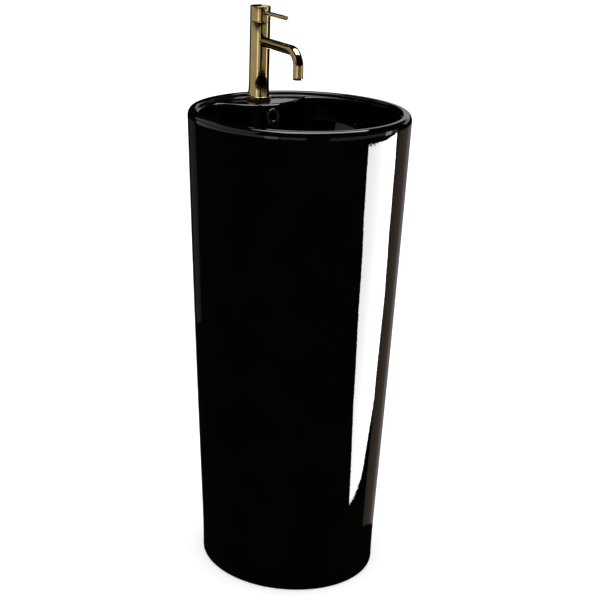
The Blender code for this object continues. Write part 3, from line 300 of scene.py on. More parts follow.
def smooth_group(degrees):
    tree = bpy.data.node_groups.new(f"smooth_{degrees}", "GeometryNodeTree")
    tree.interface.new_socket("Geometry", in_out="INPUT", socket_type="NodeSocketGeometry")
    tree.interface.new_socket("Geometry", in_out="OUTPUT", socket_type="NodeSocketGeometry")
    start = tree.nodes.new("NodeGroupInput")
    end = tree.nodes.new("NodeGroupOutput")
    angle = tree.nodes.new("GeometryNodeInputMeshEdgeAngle")
    flat = tree.nodes.new("FunctionNodeCompare")
    flat.operation = "LESS_EQUAL"
    flat.inputs["B"].default_value = math.radians(degrees)
    faces = tree.nodes.new("GeometryNodeSetShadeSmooth")
    faces.domain = "FACE"
    edges = tree.nodes.new("GeometryNodeSetShadeSmooth")
    edges.domain = "EDGE"
    tree.links.new(angle.outputs["Unsigned Angle"], flat.inputs["A"])
    tree.links.new(start.outputs["Geometry"], faces.inputs["Geometry"])
    tree.links.new(faces.outputs["Geometry"], edges.inputs["Geometry"])
    tree.links.new(flat.outputs["Result"], edges.inputs["Shade Smooth"])
    tree.links.new(edges.outputs["Geometry"], end.inputs["Geometry"])
    return tree


def link(name, mesh, finish=None):
    obj = bpy.data.objects.new(name, mesh)
    bpy.context.scene.collection.objects.link(obj)
    if finish:
        mesh.materials.append(finish)
    return obj


def stands_for(obj, node, body=FIXED):
    """Puts a finished piece on its body in place of a CAD node."""
    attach(obj, body)
    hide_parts(node)
    return obj


def applied(obj):
    """Turns the object's modifiers into its mesh."""
    bpy.context.view_layer.update()
    graph = bpy.context.evaluated_depsgraph_get()
    mesh = bpy.data.meshes.new_from_object(obj.evaluated_get(graph))
    obj.modifiers.clear()
    obj.data = mesh
    return obj


def turned_mesh(name, profile, steps=96, closed=False):
    """A profile of (radius, height) points turned about +Z, with its faces out."""
    shape = bmesh.new()
    rows = []
    for radius, height in profile:
        if radius < 1e-7:
            rows.append([shape.verts.new((0, 0, height))])
            continue
        row = []
        for i in range(steps):
            turn = 2 * math.pi * i / steps
            row.append(shape.verts.new((radius * math.cos(turn), radius * math.sin(turn), height)))
        rows.append(row)
    pairs = list(zip(rows, rows[1:]))
    if closed:
        pairs.append((rows[-1], rows[0]))
    for lower, upper in pairs:
        for i in range(steps):
            j = (i + 1) % steps
            corners = [lower[i % len(lower)], lower[j % len(lower)]]
            corners += [upper[j % len(upper)], upper[i % len(upper)]]
            corners = list(dict.fromkeys(corners))
            if len(corners) > 2:
                shape.faces.new(corners)
    bmesh.ops.recalc_face_normals(shape, faces=shape.faces)
    mesh = bpy.data.meshes.new(name)
    shape.to_mesh(mesh)
    shape.free()
    return mesh


def aim(axis, at, spin=0.0):
    """The matrix that takes an upright piece to a place, along an axis."""
    facing = Vector(axis).to_track_quat("Z", "Y").to_matrix().to_4x4()
    return Matrix.Translation(at) @ facing @ Matrix.Rotation(spin, 4, "Z")


def turned(name, profile, finish=None, at=(0, 0, 0), axis=UP, steps=96, closed=False, spin=0.0):
    mesh = turned_mesh(name, profile, steps, closed)
    mesh.transform(aim(axis, at, spin))
    return link(name, mesh, finish)


def rounded(profile, radius, steps=4, closed=False):
    """The same profile with each corner rounded, as far as its neighbours allow."""
    count = len(profile)
    made = []
    for i, corner in enumerate(profile):
        if not closed and i in (0, count - 1):
            made.append(corner)
            continue
        here = Vector(corner)
        back = Vector(profile[i - 1]) - here
        ahead = Vector(profile[(i + 1) % count]) - here
        inner = back.angle(ahead, math.pi) if back.length and ahead.length else math.pi
        if inner > math.radians(165):
            made.append(corner)
            continue
        room = min(back.length, ahead.length) * 0.45
        cut = min(radius / math.tan(inner / 2), room)
        first = here + back.normalized() * cut
        last = here + ahead.normalized() * cut
        for k in range(steps + 1):
            t = k / steps
            point = first * (1 - t) ** 2 + here * 2 * t * (1 - t) + last * t**2
            made.append(tuple(point))
    return made


def arc(steps):
    return [math.pi / 2 * i / steps for i in range(steps + 1)]


def block(name, low, high):
    """A flat-sided cutter between two corners."""
    shape = bmesh.new()
    bmesh.ops.create_cube(shape, size=1)
    size = Vector(high) - Vector(low)
    middle = (Vector(high) + Vector(low)) / 2
    for vert in shape.verts:
        vert.co = vert.co * size + middle
    mesh = bpy.data.meshes.new(name)
    shape.to_mesh(mesh)
    shape.free()
    return link(name, mesh)


def rod(name, radius, low, high, at, axis=UP):
    """A round cutter along an axis, its seam turned clear of what it cuts."""
    return turned(name, disc(radius, low, high), None, at, axis, 64, spin=SEAM_TURN)


def boolean(obj, others):
    """Cuts all the others out in one exact Boolean, and removes them."""
    group = bpy.data.collections.new(obj.name + "_tools")
    for other in others:
        for owner in list(other.users_collection):
            owner.objects.unlink(other)
        group.objects.link(other)
    bpy.context.scene.collection.children.link(group)
    modifier = obj.modifiers.new("boolean", "BOOLEAN")
    modifier.operand_type = "COLLECTION"
    modifier.collection = group
    modifier.operation = "DIFFERENCE"
    modifier.solver = "EXACT"
    applied(obj)
    for other in others:
        bpy.data.objects.remove(other)
    bpy.data.collections.remove(group)
    return obj


# ---------------------------------------------------------------- basin surfaces
# Distances from the bowl's upright axis along a direction; 0 faces the front and pi the back.


def spread(height):
    share = min(1, height / (HEIGHT - LIP_HEIGHT))
    ramp = (share - STRAIGHT_FOOT) / (1 - STRAIGHT_FOOT)
    soft = (ramp + math.sqrt(ramp * ramp + FOOT_BLEND)) / 2
    return min(1, soft + BELLY * math.sin(math.pi * share))


def oval_reach(direction, half_width, half_depth):
    along_x = math.sin(direction) / half_width
    along_y = -math.cos(direction) / half_depth
    start = BOWL_Y / half_depth
    a = along_x**2 + along_y**2
    b = start * along_y
    return (-b + math.sqrt(b * b - a * (start * start - 1))) / a


def column_reach(direction, height, inset):
    opened = spread(max(height, 0))
    half_width = FOOT_HALF_WIDTH + (RIM_RADIUS - FOOT_HALF_WIDTH) * opened
    half_depth = FOOT_HALF_DEPTH + (RIM_RADIUS - FOOT_HALF_DEPTH) * opened
    return oval_reach(direction, half_width - inset, half_depth - inset)


def outside_bowl(direction, reach):
    x = reach * math.sin(direction)
    y = BOWL_Y - reach * math.cos(direction)
    rim = math.hypot(x, y) - (RIM_INNER - BOWL_STEP)
    ledge = LEDGE_BULGE_RADIUS - math.hypot(x, y - LEDGE_BULGE_Y)
    return (rim + ledge + math.hypot(rim - ledge, LEDGE_BLEND)) / 2


def bowl_reach(direction):
    near = MM
    far = MM
    while outside_bowl(direction, far) < 0:
        near = far
        far += MM
    for _ in range(BOWL_BISECTIONS):
        middle = (near + far) / 2
        if outside_bowl(direction, middle) < 0:
            near = middle
        else:
            far = middle
    return far


def edge_round(direction, bowl):
    ledge = oval_reach(direction, RIM_INNER, RIM_INNER) - bowl
    return min(LEDGE_EDGE_ROUND, EDGE_SHARE * ledge)


def bowl_point(direction, bowl, angle, thickness=0):
    power = 2 / BOWL_SQUARENESS
    top = LEDGE_Z - edge_round(direction, bowl)
    wide = bowl + thickness
    reach = FLOOR_RADIUS + (wide - FLOOR_RADIUS) * max(math.cos(angle), 0) ** power
    return reach, top - (top - FLOOR_Z + thickness) * math.sin(angle) ** power


def place(direction, reach, height):
    return (reach * math.sin(direction), BOWL_Y - reach * math.cos(direction), height)


def bowl_angles(steps):
    """Angles that put the rings evenly down the wall, where the power would crowd them."""
    return [math.pi / 2 * (i / steps) ** RING_SPREAD for i in range(steps + 1)]


def outside_points(direction):
    """(reach, height) points up the outside and over the lip."""
    points = []
    for angle in arc(5):
        inset = FOOT_ROUND * (1 - math.sin(angle))
        height = FOOT_ROUND * (1 - math.cos(angle))
        points.append((column_reach(direction, height, inset), height))
    lip_z = HEIGHT - LIP_HEIGHT
    for i in range(1, WALL_RINGS + 1):
        height = FOOT_ROUND + (lip_z - FOOT_ROUND) * i / WALL_RINGS
        points.append((column_reach(direction, height, 0), height))
    for angle in arc(14)[1:]:
        height = lip_z + LIP_HEIGHT * math.sin(angle)
        inset = LIP_INSET * (1 - math.cos(angle))
        points.append((column_reach(direction, height, inset), height))
    return points


def rim_points(direction, bowl):
    """(reach, height) points over the rim's inner edge, across the ledge and over the bowl's edge."""
    points = []
    for angle in arc(8):
        inset = RIM_THICKNESS - RIM_INNER_ROUND * (1 - math.sin(angle))
        height = HEIGHT - RIM_INNER_ROUND * (1 - math.cos(angle))
        points.append((oval_reach(direction, RIM_RADIUS - inset, RIM_RADIUS - inset), height))
    inner = oval_reach(direction, RIM_INNER, RIM_INNER)
    edge = edge_round(direction, bowl)
    fillet = min(LEDGE_FILLET, (inner - bowl - edge) * EDGE_SHARE)
    for angle in arc(6):
        points.append((inner - fillet * (1 - math.cos(angle)), LEDGE_Z + fillet * (1 - math.sin(angle))))
    start = inner - fillet
    end = bowl + edge
    for i in range(1, 16):
        points.append((start + (end - start) * i / 16, LEDGE_Z))
    for angle in arc(8)[:-1]:
        points.append((bowl + edge * (1 - math.sin(angle)), LEDGE_Z - edge * (1 - math.cos(angle))))
    return points


def basin_section(direction):
    bowl = bowl_reach(direction)
    points = outside_points(direction) + rim_points(direction, bowl)
    for angle in bowl_angles(BOWL_RINGS):
        points.append(bowl_point(direction, bowl, angle))
    return points


def cavity_start(direction, bowl):
    low = 0
    high = math.pi / 2
    for _ in range(CAVITY_BISECTIONS):
        middle = (low + high) / 2
        reach, height = bowl_point(direction, bowl, middle, BOWL_WALL)
        inner = column_reach(direction, height, COLUMN_WALL)
        if height < LEDGE_Z - LEDGE_SLAB and reach < inner - CAVITY_CORNER:
            high = middle
        else:
            low = middle
    return high


def cavity_section(direction):
    bowl = bowl_reach(direction)
    start = cavity_start(direction, bowl)
    _, top = bowl_point(direction, bowl, start, BOWL_WALL)
    low = -PAST_FOOT
    points = []
    for i in range(WALL_RINGS // 2):
        height = low + (top - low) * i / (WALL_RINGS // 2 - 1)
        points.append((column_reach(direction, height, COLUMN_WALL), height))
    for i in range(1, BOWL_RINGS // 2):
        angle = start + (math.pi / 2 - start) * i / (BOWL_RINGS // 2 - 1)
        points.append(bowl_point(direction, bowl, angle, BOWL_WALL))
    return points


def section_loft(name, section, finish=None):
    """The section swept round the bowl's axis, with a flat cap at each end."""
    columns = []
    for i in range(AROUND):
        direction = 2 * math.pi * (i + 0.5) / AROUND
        columns.append([place(direction, *point) for point in section(direction)])
    shape = bmesh.new()
    rows = [[shape.verts.new(point) for point in row] for row in zip(*columns)]
    for lower, upper in zip(rows, rows[1:]):
        for i in range(AROUND):
            j = (i + 1) % AROUND
            shape.faces.new((lower[i], lower[j], upper[j], upper[i]))
    shape.faces.new(rows[0])
    shape.faces.new(rows[-1])
    bmesh.ops.recalc_face_normals(shape, faces=shape.faces)
    mesh = bpy.data.meshes.new(name)
    shape.to_mesh(mesh)
    shape.free()
    return link(name, mesh, finish)


def slot_outline(grow):
    """The arch of the service slot as (x, z), grown by a distance."""
    half = SLOT_WIDTH / 2
    spring = SLOT_HEIGHT - half
    half += grow
    low = -PAST_FOOT
    points = [(-half, low), (half, low)]
    for i in range(1, JAMB_STEPS):
        points.append((half, low + (spring - low) * i / JAMB_STEPS))
    for i in range(ARCH_STEPS + 1):
        turn = math.pi * i / ARCH_STEPS
        points.append((half * math.cos(turn), spring + half * math.sin(turn)))
    for i in range(1, JAMB_STEPS):
        points.append((-half, spring - (spring - low) * i / JAMB_STEPS))
    return points


def wall_y(x, z, inset):
    """The column's back at a place on it."""
    opened = spread(max(z, 0))
    half_width = FOOT_HALF_WIDTH + (RIM_RADIUS - FOOT_HALF_WIDTH) * opened - inset
    half_depth = FOOT_HALF_DEPTH + (RIM_RADIUS - FOOT_HALF_DEPTH) * opened - inset
    return half_depth * math.sqrt(max(0.0, 1 - (x / half_width) ** 2))


def slot_cutter():
    """The slot's cutter, flared at the outside so that the glaze rolls over its edge.

    Known fault: its outer end is filled straight across while the wall bulges past it, so the Boolean
    leaves a slab of the wall standing in the slot.
    """
    rows = []
    for step in range(SLOT_ROUND_STEPS + 1):
        depth = SLOT_ROUND * (step / SLOT_ROUND_STEPS)
        grow = SLOT_ROUND - math.sqrt(SLOT_ROUND**2 - (SLOT_ROUND - depth) ** 2)
        rows.append((depth, grow))
    rows.insert(0, (-PAST_SLOT_OUTSIDE, rows[0][1] + PAST_SLOT_FLARE))
    rows.append((COLUMN_WALL + PAST_SLOT_INSIDE, 0))
    shape = bmesh.new()
    rings = []
    for depth, grow in rows:
        points = slot_outline(grow)
        rings.append([shape.verts.new((x, wall_y(x, z, 0) - depth, z)) for x, z in points])
    for first, second in zip(rings, rings[1:]):
        for i in range(len(first)):
            j = (i + 1) % len(first)
            shape.faces.new((first[i], first[j], second[j], second[i]))
    for ends in (rings[0], rings[-1]):
        bmesh.ops.triangle_fill(shape, edges=boundary(shape, ends), use_beauty=True)
    bmesh.ops.recalc_face_normals(shape, faces=shape.faces)
    mesh = bpy.data.meshes.new("slot_cutter")
    shape.to_mesh(mesh)
    shape.free()
    return link("slot_cutter", mesh)


def boundary(shape, verts):
    ring = set(verts)
    return [e for e in shape.edges if e.is_boundary and e.verts[0] in ring and e.verts[1] in ring]


def disc(radius, low, high):
    return [(0, low), (radius, low), (radius, high), (0, high)]


def make_basin():
    basin = section_loft("basin_glazed", basin_section, GLAZE)
    cavity = section_loft("cavity", cavity_section)
    boss = turned("boss", disc(BOSS_RADIUS, BOSS_Z, FLOOR_Z + MM), None, (0, BOWL_Y, 0), spin=SEAM_TURN)
    boolean(cavity, [boss])
    step = FLOOR_Z - WASTE_RECESS
    waste = [(0, BOSS_Z - MM), (WASTE_HOLE_RADIUS, BOSS_Z - MM), (WASTE_HOLE_RADIUS, step)]
    waste += [(RECESS_RADIUS, step), (RECESS_RADIUS, HEIGHT), (0, HEIGHT)]
    back = BOWL_Y + bowl_reach(math.pi)
    mouth = [(0, -PAST_MOUTH), (OVERFLOW_SEAT, -PAST_MOUTH), (OVERFLOW_SEAT, 0)]
    mouth += [(OVERFLOW_RADIUS, 0), (OVERFLOW_RADIUS, OVERFLOW_DEPTH), (0, OVERFLOW_DEPTH)]
    tap_hole = disc(TAP_HOLE_RADIUS, LEDGE_Z - PAST_LEDGE_BELOW, LEDGE_Z + PAST_LEDGE_ABOVE)
    cutters = [
        cavity,
        slot_cutter(),
        turned("waste_cutter", waste, None, (0, BOWL_Y, 0), spin=SEAM_TURN),
        turned("mouth_cutter", mouth, None, (0, back, OVERFLOW_Z), BACK, spin=SEAM_TURN),
        turned("tap_cutter", tap_hole, None, (0, TAP_Y, 0), spin=SEAM_TURN),
    ]
    boolean(basin, cutters)
    smooth(basin)
    return stands_for(basin, "basin")


# ---------------------------------------------------------------- overflow, waste and plug

GAP = 0.3 * MM
RING_WALL = 2.7 * MM
RING_EDGE = 0.8 * MM
WASTE_TUBE_RADIUS = 20.5 * MM
WASTE_TUBE_WALL = 2 * MM
WASTE_FLANGE = 3 * MM
WASTE_EDGE = 1.1 * MM
WASTE_SLOT_WIDTH = 8 * MM
WASTE_SLOT_HEIGHT = 10 * MM
WASTE_SLOT_DROP = 17 * MM
PAST_WASTE_TUBE = 5 * MM
PLUG_SEAL_WIDTH = 3 * MM
PLUG_THICKNESS = 6 * MM
PLUG_RIM = 2 * MM
PLUG_FLAT = 0.55


def make_overflow_ring():
    low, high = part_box("overflow_ring")
    wall = BOWL_Y + bowl_reach(math.pi)
    sleeve = OVERFLOW_RADIUS - GAP
    inner = sleeve - RING_WALL
    front = low.y - wall
    profile = [(inner, front), (high.x, front), (high.x, -GAP), (sleeve, -GAP)]
    profile += [(sleeve, high.y - wall), (inner, high.y - wall)]
    profile = rounded(profile, RING_EDGE, 5, True)
    trim = turned("overflow_trim", profile, DARK_CHROME, (0, wall, OVERFLOW_Z), BACK, 96, True)
    smooth(trim)
    stands_for(trim, "overflow_ring")


def make_waste():
    low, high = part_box("waste_body")
    bore = WASTE_TUBE_RADIUS - WASTE_TUBE_WALL
    under = high.z - WASTE_FLANGE
    profile = [(bore, low.z), (WASTE_TUBE_RADIUS, low.z), (WASTE_TUBE_RADIUS, under)]
    profile += [(high.x, under), (high.x, high.z), (bore, high.z)]
    profile = rounded(profile, WASTE_EDGE, 5, True)
    waste = turned("waste_flange", profile, GOLD, (0, BOWL_Y, 0), UP, 96, True)
    half = WASTE_TUBE_RADIUS + PAST_WASTE_TUBE
    wide = WASTE_SLOT_WIDTH / 2
    tall = WASTE_SLOT_HEIGHT / 2
    slots = []
    for i in range(2):
        slot = block(f"waste_slot_{i + 1}", (-half, -wide, -tall), (half, wide, tall))
        slot.location = (0, BOWL_Y, FLOOR_Z - WASTE_SLOT_DROP)
        slot.rotation_euler = (0, 0, math.pi * (2 * i + 1) / 4)
        slots.append(slot)
    boolean(waste, slots)
    smooth(waste)
    stands_for(waste, "waste_body")


def make_plug():
    low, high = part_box("plug_cap")
    seat = high.z - PLUG_THICKNESS
    hub = WASTE_TUBE_RADIUS - WASTE_TUBE_WALL - PLUG_SEAL_WIDTH
    profile = [(0, low.z), (hub, low.z), (hub, seat), (high.x - MM, seat), (high.x, seat + MM)]
    for angle in arc(16):
        reach = high.x * (PLUG_FLAT + (1 - PLUG_FLAT) * math.cos(angle))
        rise = (PLUG_THICKNESS - PLUG_RIM) * math.sin(angle)
        profile.append((reach, seat + PLUG_RIM + rise))
    profile.append((0, high.z))
    dome = turned("plug_dome", profile, GOLD, (0, BOWL_Y, 0))
    smooth(dome)
    stands_for(dome, "plug_cap", "plug")


# ---------------------------------------------------------------- tap

BODY_BOTTOM = 7.1 * MM
TAP_RADIUS = 18.8 * MM
TAP_BASE_RADIUS = 20.5 * MM
TAP_FLARE_TOP = 34 * MM
TAP_FLARE_STEPS = 24
TAP_BORE = 14.6 * MM
TAP_SPIGOT_RADIUS = 16 * MM
TAP_EDGE = 0.5 * MM
BASE_EDGE = 1.2 * MM
CORE_BOTTOM = 84 * MM
SEAT = 118 * MM
CARTRIDGE_BORE = 16 * MM
PORT_RADIUS = 3 * MM
PORT_CIRCLE = 7.5 * MM
TAIL_X = 7.5 * MM
TAIL_Y = 5 * MM
TAIL_RADIUS = 5 * MM
TAIL_SOCKET = 14 * MM
STUD_Y = -9 * MM
STUD_RADIUS = 3.9 * MM
STUD_SOCKET = 12 * MM
SPOUT_Z = 108 * MM
SPOUT_RADIUS = 9.2 * MM
SPOUT_WALL = 1.2 * MM
SPOUT_REACH = 146 * MM
SPOUT_BEND = 27 * MM
SPOUT_TIP = 59 * MM
SPOUT_SOCKET = 10 * MM
SPOUT_LIP = 0.5 * MM
SPOUT_LIP_STEPS = 4
SPOUT_END = 6 * MM
SPOUT_STRAIGHT_STEPS = 8
SPOUT_BEND_STEPS = 28
SPOUT_AROUND = 72
PAST_TAP_BODY = 4 * MM
CAP_HOLLOW_RADIUS = 15.5 * MM
CAP_HOLLOW = 5 * MM
CAP_SOCKET = 18 * MM
CAP_EDGE = 0.8 * MM
# Known fault: this wedge lies behind the cap and cuts nothing, so the cap runs into the body as it tilts.
# The CAD model's wedge goes from (-40, 0, -30) to (40, 50, 0) mm before it is turned
CAP_BEVEL_DEG = 27
CAP_BEVEL_LOW = (-40 * MM, 25 * MM, -45 * MM)
CAP_BEVEL_HIGH = (40 * MM, 75 * MM, -15 * MM)
PAST_CAP = 5 * MM
STEM_HALF = 3.5 * MM
GRUB_Z = 159.5 * MM
GRUB_RADIUS = 2.4 * MM
LEVER_Z = 161.3 * MM
LEVER_RADIUS = 4 * MM
LEVER_COLLAR_RADIUS = 5.4 * MM
LEVER_COLLAR = 4 * MM
LEVER_SHANK_RADIUS = 2.8 * MM
LEVER_SHANK = 11 * MM
LEVER_EDGE = 0.6 * MM
TAP_AT = (0, TAP_Y, LEDGE_Z)


def make_tap_base():
    low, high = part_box("tap_base_ring")
    inner = TAP_SPIGOT_RADIUS + GAP
    profile = [(inner, low.z), (high.x, low.z), (high.x, high.z), (inner, high.z)]
    profile = rounded(profile, BASE_EDGE, 6, True)
    base = turned("tap_flange", profile, GOLD, (0, TAP_Y, 0), UP, 120, True)
    smooth(base)
    stands_for(base, "tap_base_ring")


def tap_body_cutters():
    """The spout's socket, the three ports, and the sockets of the tails and the stud."""
    made = []
    socket_at = (0, TAP_Y, LEDGE_Z + SPOUT_Z)
    reach = (TAP_RADIUS - SPOUT_SOCKET, TAP_RADIUS + PAST_TAP_BODY)
    made.append(rod("spout_socket", SPOUT_RADIUS + GAP, *reach, socket_at, FRONT))
    for i, (x, y) in enumerate([(-TAIL_X, TAIL_Y), (TAIL_X, TAIL_Y), (0, -PORT_CIRCLE)]):
        low = CORE_BOTTOM - MM if y > 0 else SPOUT_Z
        where = (x, TAP_Y + y, LEDGE_Z)
        made.append(rod(f"port_{i + 1}", PORT_RADIUS, low, SEAT + MM, where))
        if y > 0:
            top = CORE_BOTTOM + TAIL_SOCKET + GAP
            made.append(rod(f"tail_socket_{i + 1}", TAIL_RADIUS + GAP, low, top, where))
    where = (0, TAP_Y + STUD_Y, LEDGE_Z)
    top = CORE_BOTTOM + STUD_SOCKET + GAP
    made.append(rod("stud_socket", STUD_RADIUS + GAP, CORE_BOTTOM - MM, top, where))
    return made


def make_tap_body():
    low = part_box("tap_body")[0].z - LEDGE_Z
    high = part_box("tap_body")[1].z - LEDGE_Z
    profile = [(TAP_BORE, low), (TAP_SPIGOT_RADIUS, low), (TAP_SPIGOT_RADIUS, BODY_BOTTOM)]
    for i in range(TAP_FLARE_STEPS + 1):
        share = i / TAP_FLARE_STEPS
        height = BODY_BOTTOM + (TAP_FLARE_TOP - BODY_BOTTOM) * share
        profile.append((TAP_RADIUS + (TAP_BASE_RADIUS - TAP_RADIUS) * (1 - share) ** 2, height))
    for angle in arc(5):
        inset = TAP_EDGE * (1 - math.cos(angle))
        profile.append((TAP_RADIUS - inset, high - TAP_EDGE * (1 - math.sin(angle))))
    profile += [(CARTRIDGE_BORE, high), (CARTRIDGE_BORE, SEAT), (0, SEAT)]
    profile += [(0, CORE_BOTTOM), (TAP_BORE, CORE_BOTTOM)]
    body = turned("tap_upright", profile, GOLD, TAP_AT, UP, 144, True)
    boolean(body, tap_body_cutters())
    smooth(body)
    stands_for(body, "tap_body")


def spout_route():
    """The spout's centre line, from its socket in the body to its tip."""
    z = LEDGE_Z + SPOUT_Z
    start = TAP_Y - TAP_RADIUS + SPOUT_SOCKET - GAP
    end = TAP_Y - SPOUT_REACH
    bend = end + SPOUT_BEND
    steps = SPOUT_STRAIGHT_STEPS
    points = [Vector((0, start + (bend - start) * i / steps, z)) for i in range(steps + 1)]
    for angle in arc(SPOUT_BEND_STEPS)[1:]:
        y = end + SPOUT_BEND * (1 - math.sin(angle))
        points.append(Vector((0, y, z - SPOUT_BEND * (1 - math.cos(angle)))))
    tip = LEDGE_Z + SPOUT_TIP
    return points + [Vector((0, end, tip + SPOUT_END)), Vector((0, end, tip))]


def spout_rows(route):
    """(step, radius, inset from that step) out along the tube, over its lip and back inside."""
    last = len(route) - 1
    inner = SPOUT_RADIUS - SPOUT_WALL
    rows = [(i, SPOUT_RADIUS, 0) for i in range(last)]
    lip = []
    for angle in arc(SPOUT_LIP_STEPS):
        lip.append((SPOUT_LIP * (1 - math.cos(angle)), SPOUT_LIP * (1 - math.sin(angle))))
    rows += [(last, SPOUT_RADIUS - across, inset) for across, inset in lip]
    rows += [(last, inner + across, inset) for across, inset in reversed(lip)]
    return rows + [(i, inner, 0) for i in reversed(range(last))]


def make_spout():
    route = spout_route()
    around = SPOUT_AROUND
    side = Vector((1, 0, 0))
    shape = bmesh.new()
    rings = []
    for i, radius, inset in spout_rows(route):
        tangent = (route[min(i + 1, len(route) - 1)] - route[max(i - 1, 0)]).normalized()
        over = tangent.cross(side)
        middle = route[i] - tangent * inset
        made = []
        for k in range(around):
            turn = 2 * math.pi * k / around
            out = side * math.cos(turn) + over * math.sin(turn)
            made.append(shape.verts.new(middle + out * radius))
        rings.append(made)
    for first, second in zip(rings, rings[1:] + rings[:1]):
        for k in range(around):
            j = (k + 1) % around
            shape.faces.new((first[k], first[j], second[j], second[k]))
    bmesh.ops.recalc_face_normals(shape, faces=shape.faces)
    mesh = bpy.data.meshes.new("spout_tube")
    shape.to_mesh(mesh)
    shape.free()
    spout = link("spout_tube", mesh, GOLD)
    smooth(spout)
    stands_for(spout, "spout")


def make_cap():
    low, high = (corner.z - LEDGE_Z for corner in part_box("handle_cap"))
    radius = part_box("handle_cap")[1].x
    ceiling = low + CAP_HOLLOW
    profile = [(CAP_HOLLOW_RADIUS, low), (radius, low)]
    for angle in arc(7):
        inset = CAP_EDGE * (1 - math.cos(angle))
        profile.append((radius - inset, high - CAP_EDGE * (1 - math.sin(angle))))
    profile += [(0, high), (0, ceiling), (CAP_HOLLOW_RADIUS, ceiling)]
    cap = turned("handle_top", profile, GOLD, TAP_AT, UP, 144, True)
    side = STEM_HALF + GAP
    stem = block("stem_socket", (-side, -side, ceiling - MM), (side, side, low + CAP_SOCKET))
    stem.location = TAP_AT
    wedge = block("cap_bevel", CAP_BEVEL_LOW, CAP_BEVEL_HIGH)
    wedge.location = (0, TAP_Y, LEDGE_Z + low)
    wedge.rotation_euler = (math.radians(CAP_BEVEL_DEG), 0, 0)
    lever_at = (0, TAP_Y, LEDGE_Z + LEVER_Z)
    grub_at = (0, TAP_Y, LEDGE_Z + GRUB_Z)
    out = radius + PAST_CAP
    shank = (radius - LEVER_SHANK - MM, out)
    cutters = [stem, wedge]
    cutters.append(rod("shank_hole", LEVER_SHANK_RADIUS + GAP, *shank, lever_at, FRONT))
    cutters.append(rod("grub_hole", GRUB_RADIUS + GAP, STEM_HALF, out, grub_at, BACK))
    boolean(cap, cutters)
    smooth(cap)
    stands_for(cap, "handle_cap", "handle")


def make_lever():
    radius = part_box("handle_cap")[1].x
    end = TAP_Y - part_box("lever")[0].y
    face = radius + GAP
    collar = face + LEVER_COLLAR
    profile = [(0, radius - LEVER_SHANK), (LEVER_SHANK_RADIUS, radius - LEVER_SHANK)]
    profile += [(LEVER_SHANK_RADIUS, face), (LEVER_COLLAR_RADIUS, face)]
    profile += [(LEVER_COLLAR_RADIUS, collar), (LEVER_RADIUS, collar), (LEVER_RADIUS, end), (0, end)]
    profile = rounded(profile, LEVER_EDGE, 5)
    lever = turned("lever_rod", profile, GOLD, (0, TAP_Y, LEDGE_Z + LEVER_Z), FRONT, 64)
    smooth(lever)
    stands_for(lever, "lever", "handle")


# ---------------------------------------------------------------- studio and camera

# The camera: where it stands, its right and up directions, and its lens in millimetres
EYE = Vector((-1.26196, -2.19905, 1.35070))
EYE_RIGHT = Vector((0.869839, -0.492399, 0.030368))
EYE_UP = Vector((0.130046, 0.288238, 0.948687))
LENS = 86.444
SENSOR = 36
WORLD_WHITE = 1.12
WORLD_DARK = 0.004
FLOOR_SIZE = 40
FLOOR_WHITE = (0.97, 0.97, 0.97)
FLOOR_GLOW = 0.28
PANEL_STEPS = 8


def make_camera():
    data = bpy.data.cameras.new("camera")
    data.lens = LENS
    data.sensor_width = SENSOR
    data.clip_start = 0.05
    data.clip_end = 60
    camera = bpy.data.objects.new("camera", data)
    bpy.context.scene.collection.objects.link(camera)
    away = EYE_RIGHT.cross(EYE_UP)
    columns = Matrix((EYE_RIGHT, EYE_UP, away)).transposed()
    camera.matrix_world = Matrix.Translation(EYE) @ columns.to_4x4()
    bpy.context.scene.camera = camera


def panel(name, rows, strength, color=(1, 1, 1)):
    """A soft light in rows of (left, right) points. The glaze and the gold reflect it."""
    shape = bmesh.new()
    made = [[shape.verts.new(point) for point in row] for row in rows]
    for upper, lower in zip(made, made[1:]):
        shape.faces.new((upper[0], upper[1], lower[1], lower[0]))
    mesh = bpy.data.meshes.new(name)
    shape.to_mesh(mesh)
    shape.free()
    finish = bpy.data.materials.new(name)
    finish.use_nodes = True
    tree = finish.node_tree
    tree.nodes.clear()
    glow = tree.nodes.new("ShaderNodeEmission")
    glow.inputs["Color"].default_value = (*color, 1)
    glow.inputs["Strength"].default_value = strength
    out = tree.nodes.new("ShaderNodeOutputMaterial")
    tree.links.new(glow.outputs["Emission"], out.inputs["Surface"])
    obj = link(name, mesh, finish)
    obj.visible_camera = False
    obj.visible_diffuse = False
    obj.visible_shadow = False


def make_world():
    """White to the camera and to the floor, dark to what the object reflects."""
    world = bpy.data.worlds.new("studio")
    bpy.context.scene.world = world
    world.use_nodes = True
    tree = world.node_tree
    tree.nodes.clear()
    path = tree.nodes.new("ShaderNodeLightPath")
    white = tree.nodes.new("ShaderNodeBackground")
    white.inputs["Color"].default_value = (1, 1, 1, 1)
    white.inputs["Strength"].default_value = WORLD_WHITE
    dark = tree.nodes.new("ShaderNodeBackground")
    dark.inputs["Color"].default_value = (0.9, 0.88, 1.0, 1)
    dark.inputs["Strength"].default_value = WORLD_DARK
    mix = tree.nodes.new("ShaderNodeMixShader")
    out = tree.nodes.new("ShaderNodeOutputWorld")
    tree.links.new(path.outputs["Is Glossy Ray"], mix.inputs["Fac"])
    tree.links.new(white.outputs["Background"], mix.inputs[1])
    tree.links.new(dark.outputs["Background"], mix.inputs[2])
    tree.links.new(mix.outputs["Shader"], out.inputs["Surface"])


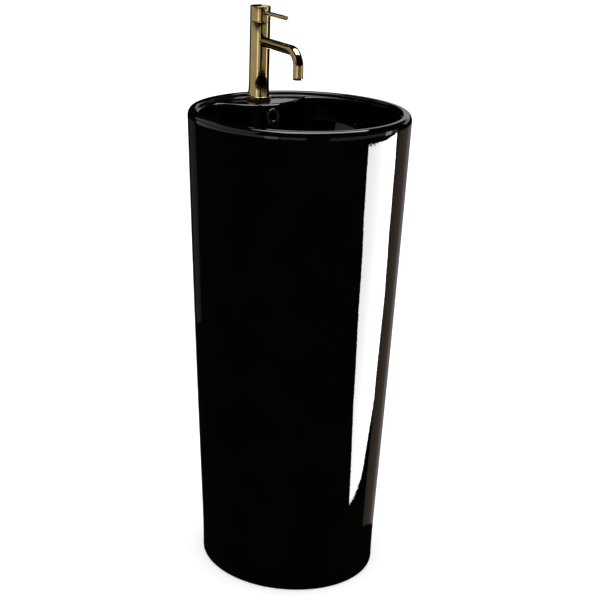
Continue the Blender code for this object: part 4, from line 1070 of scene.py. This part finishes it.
def make_floor():
    shape = bmesh.new()
    bmesh.ops.create_circle(shape, cap_ends=True, segments=96, radius=FLOOR_SIZE)
    mesh = bpy.data.meshes.new("floor")
    shape.to_mesh(mesh)
    shape.free()
    made, _, shader = new_material("floor_white", FLOOR_WHITE, 0, 0.9)
    shader.inputs["Specular IOR Level"].default_value = 0.0
    shader.inputs["Emission Color"].default_value = (1, 1, 1, 1)
    shader.inputs["Emission Strength"].default_value = FLOOR_GLOW
    floor = link("floor", mesh, made)
    floor.visible_glossy = False


def around_panel(name, start, end, reach, low, high, strength, color=(1, 1, 1)):
    """A curved panel round the object, between two directions; 0 faces the front and 90 the right."""
    rows = []
    for i in range(PANEL_STEPS + 1):
        turn = math.radians(start + (end - start) * i / PANEL_STEPS)
        x = reach * math.sin(turn)
        y = -reach * math.cos(turn)
        rows.append(((x, y, low), (x, y, high)))
    panel(name, rows, strength, color)


def make_studio():
    make_world()
    make_floor()
    key = [
        ((1.05, -1.21, 0.47), (1.59, -0.27, 0.55)),
        ((1.07, -1.20, 0.31), (1.60, -0.20, 0.31)),
        ((1.08, -1.20, 0.00), (1.60, -0.14, 0.00)),
        ((1.13, -1.16, -0.31), (1.59, -0.19, -0.31)),
        ((1.24, -1.04, -0.66), (1.51, -0.55, -0.57)),
    ]
    panel("softbox_right", key, 16)
    around_panel("fill_left", -150, -23, 1.5, 0.58, 0.98, 0.50, (1, 0.98, 0.90))
    around_panel("fill_high_left", -160, -72, 1.6, 1.12, 2.2, 0.40, (1, 0.98, 0.90))
    around_panel("strip_left", -62, -48, 1.45, 0.58, 0.98, 1.5, (1, 0.98, 0.94))
    around_panel("fill_right", -2, 80, 1.5, 0.58, 0.98, 0.28, (1, 0.96, 0.88))
    around_panel("strip_right", 62, 70, 1.45, 0.58, 0.98, 2.6, (1, 0.98, 0.94))
    around_panel("edge_right", 112, 160, 1.6, -0.75, 0.56, 0.26, (1, 0.88, 1))
    around_panel("brown_right", 84, 112, 1.6, -0.75, 0.56, 0.16, (1, 0.80, 0.58))
    around_panel("edge_left", -178, -158, 1.6, -0.1, 0.56, 0.045)
    around_panel("ledge_back", 100, 154, 1.75, 1.00, 1.40, 0.6)
    ceiling = [((-0.7, -0.6, 2.5), (1.3, -0.6, 2.5)), ((-0.7, 0.5, 2.5), (1.3, 0.5, 2.5))]
    panel("softbox_above", ceiling, 7.0)
    bpy.context.scene.view_settings.view_transform = "Standard"


make_camera()
dress_nodes()
make_basin()
make_overflow_ring()
make_waste()
make_plug()
make_tap_base()
make_tap_body()
make_spout()
make_cap()
make_lever()
make_studio()
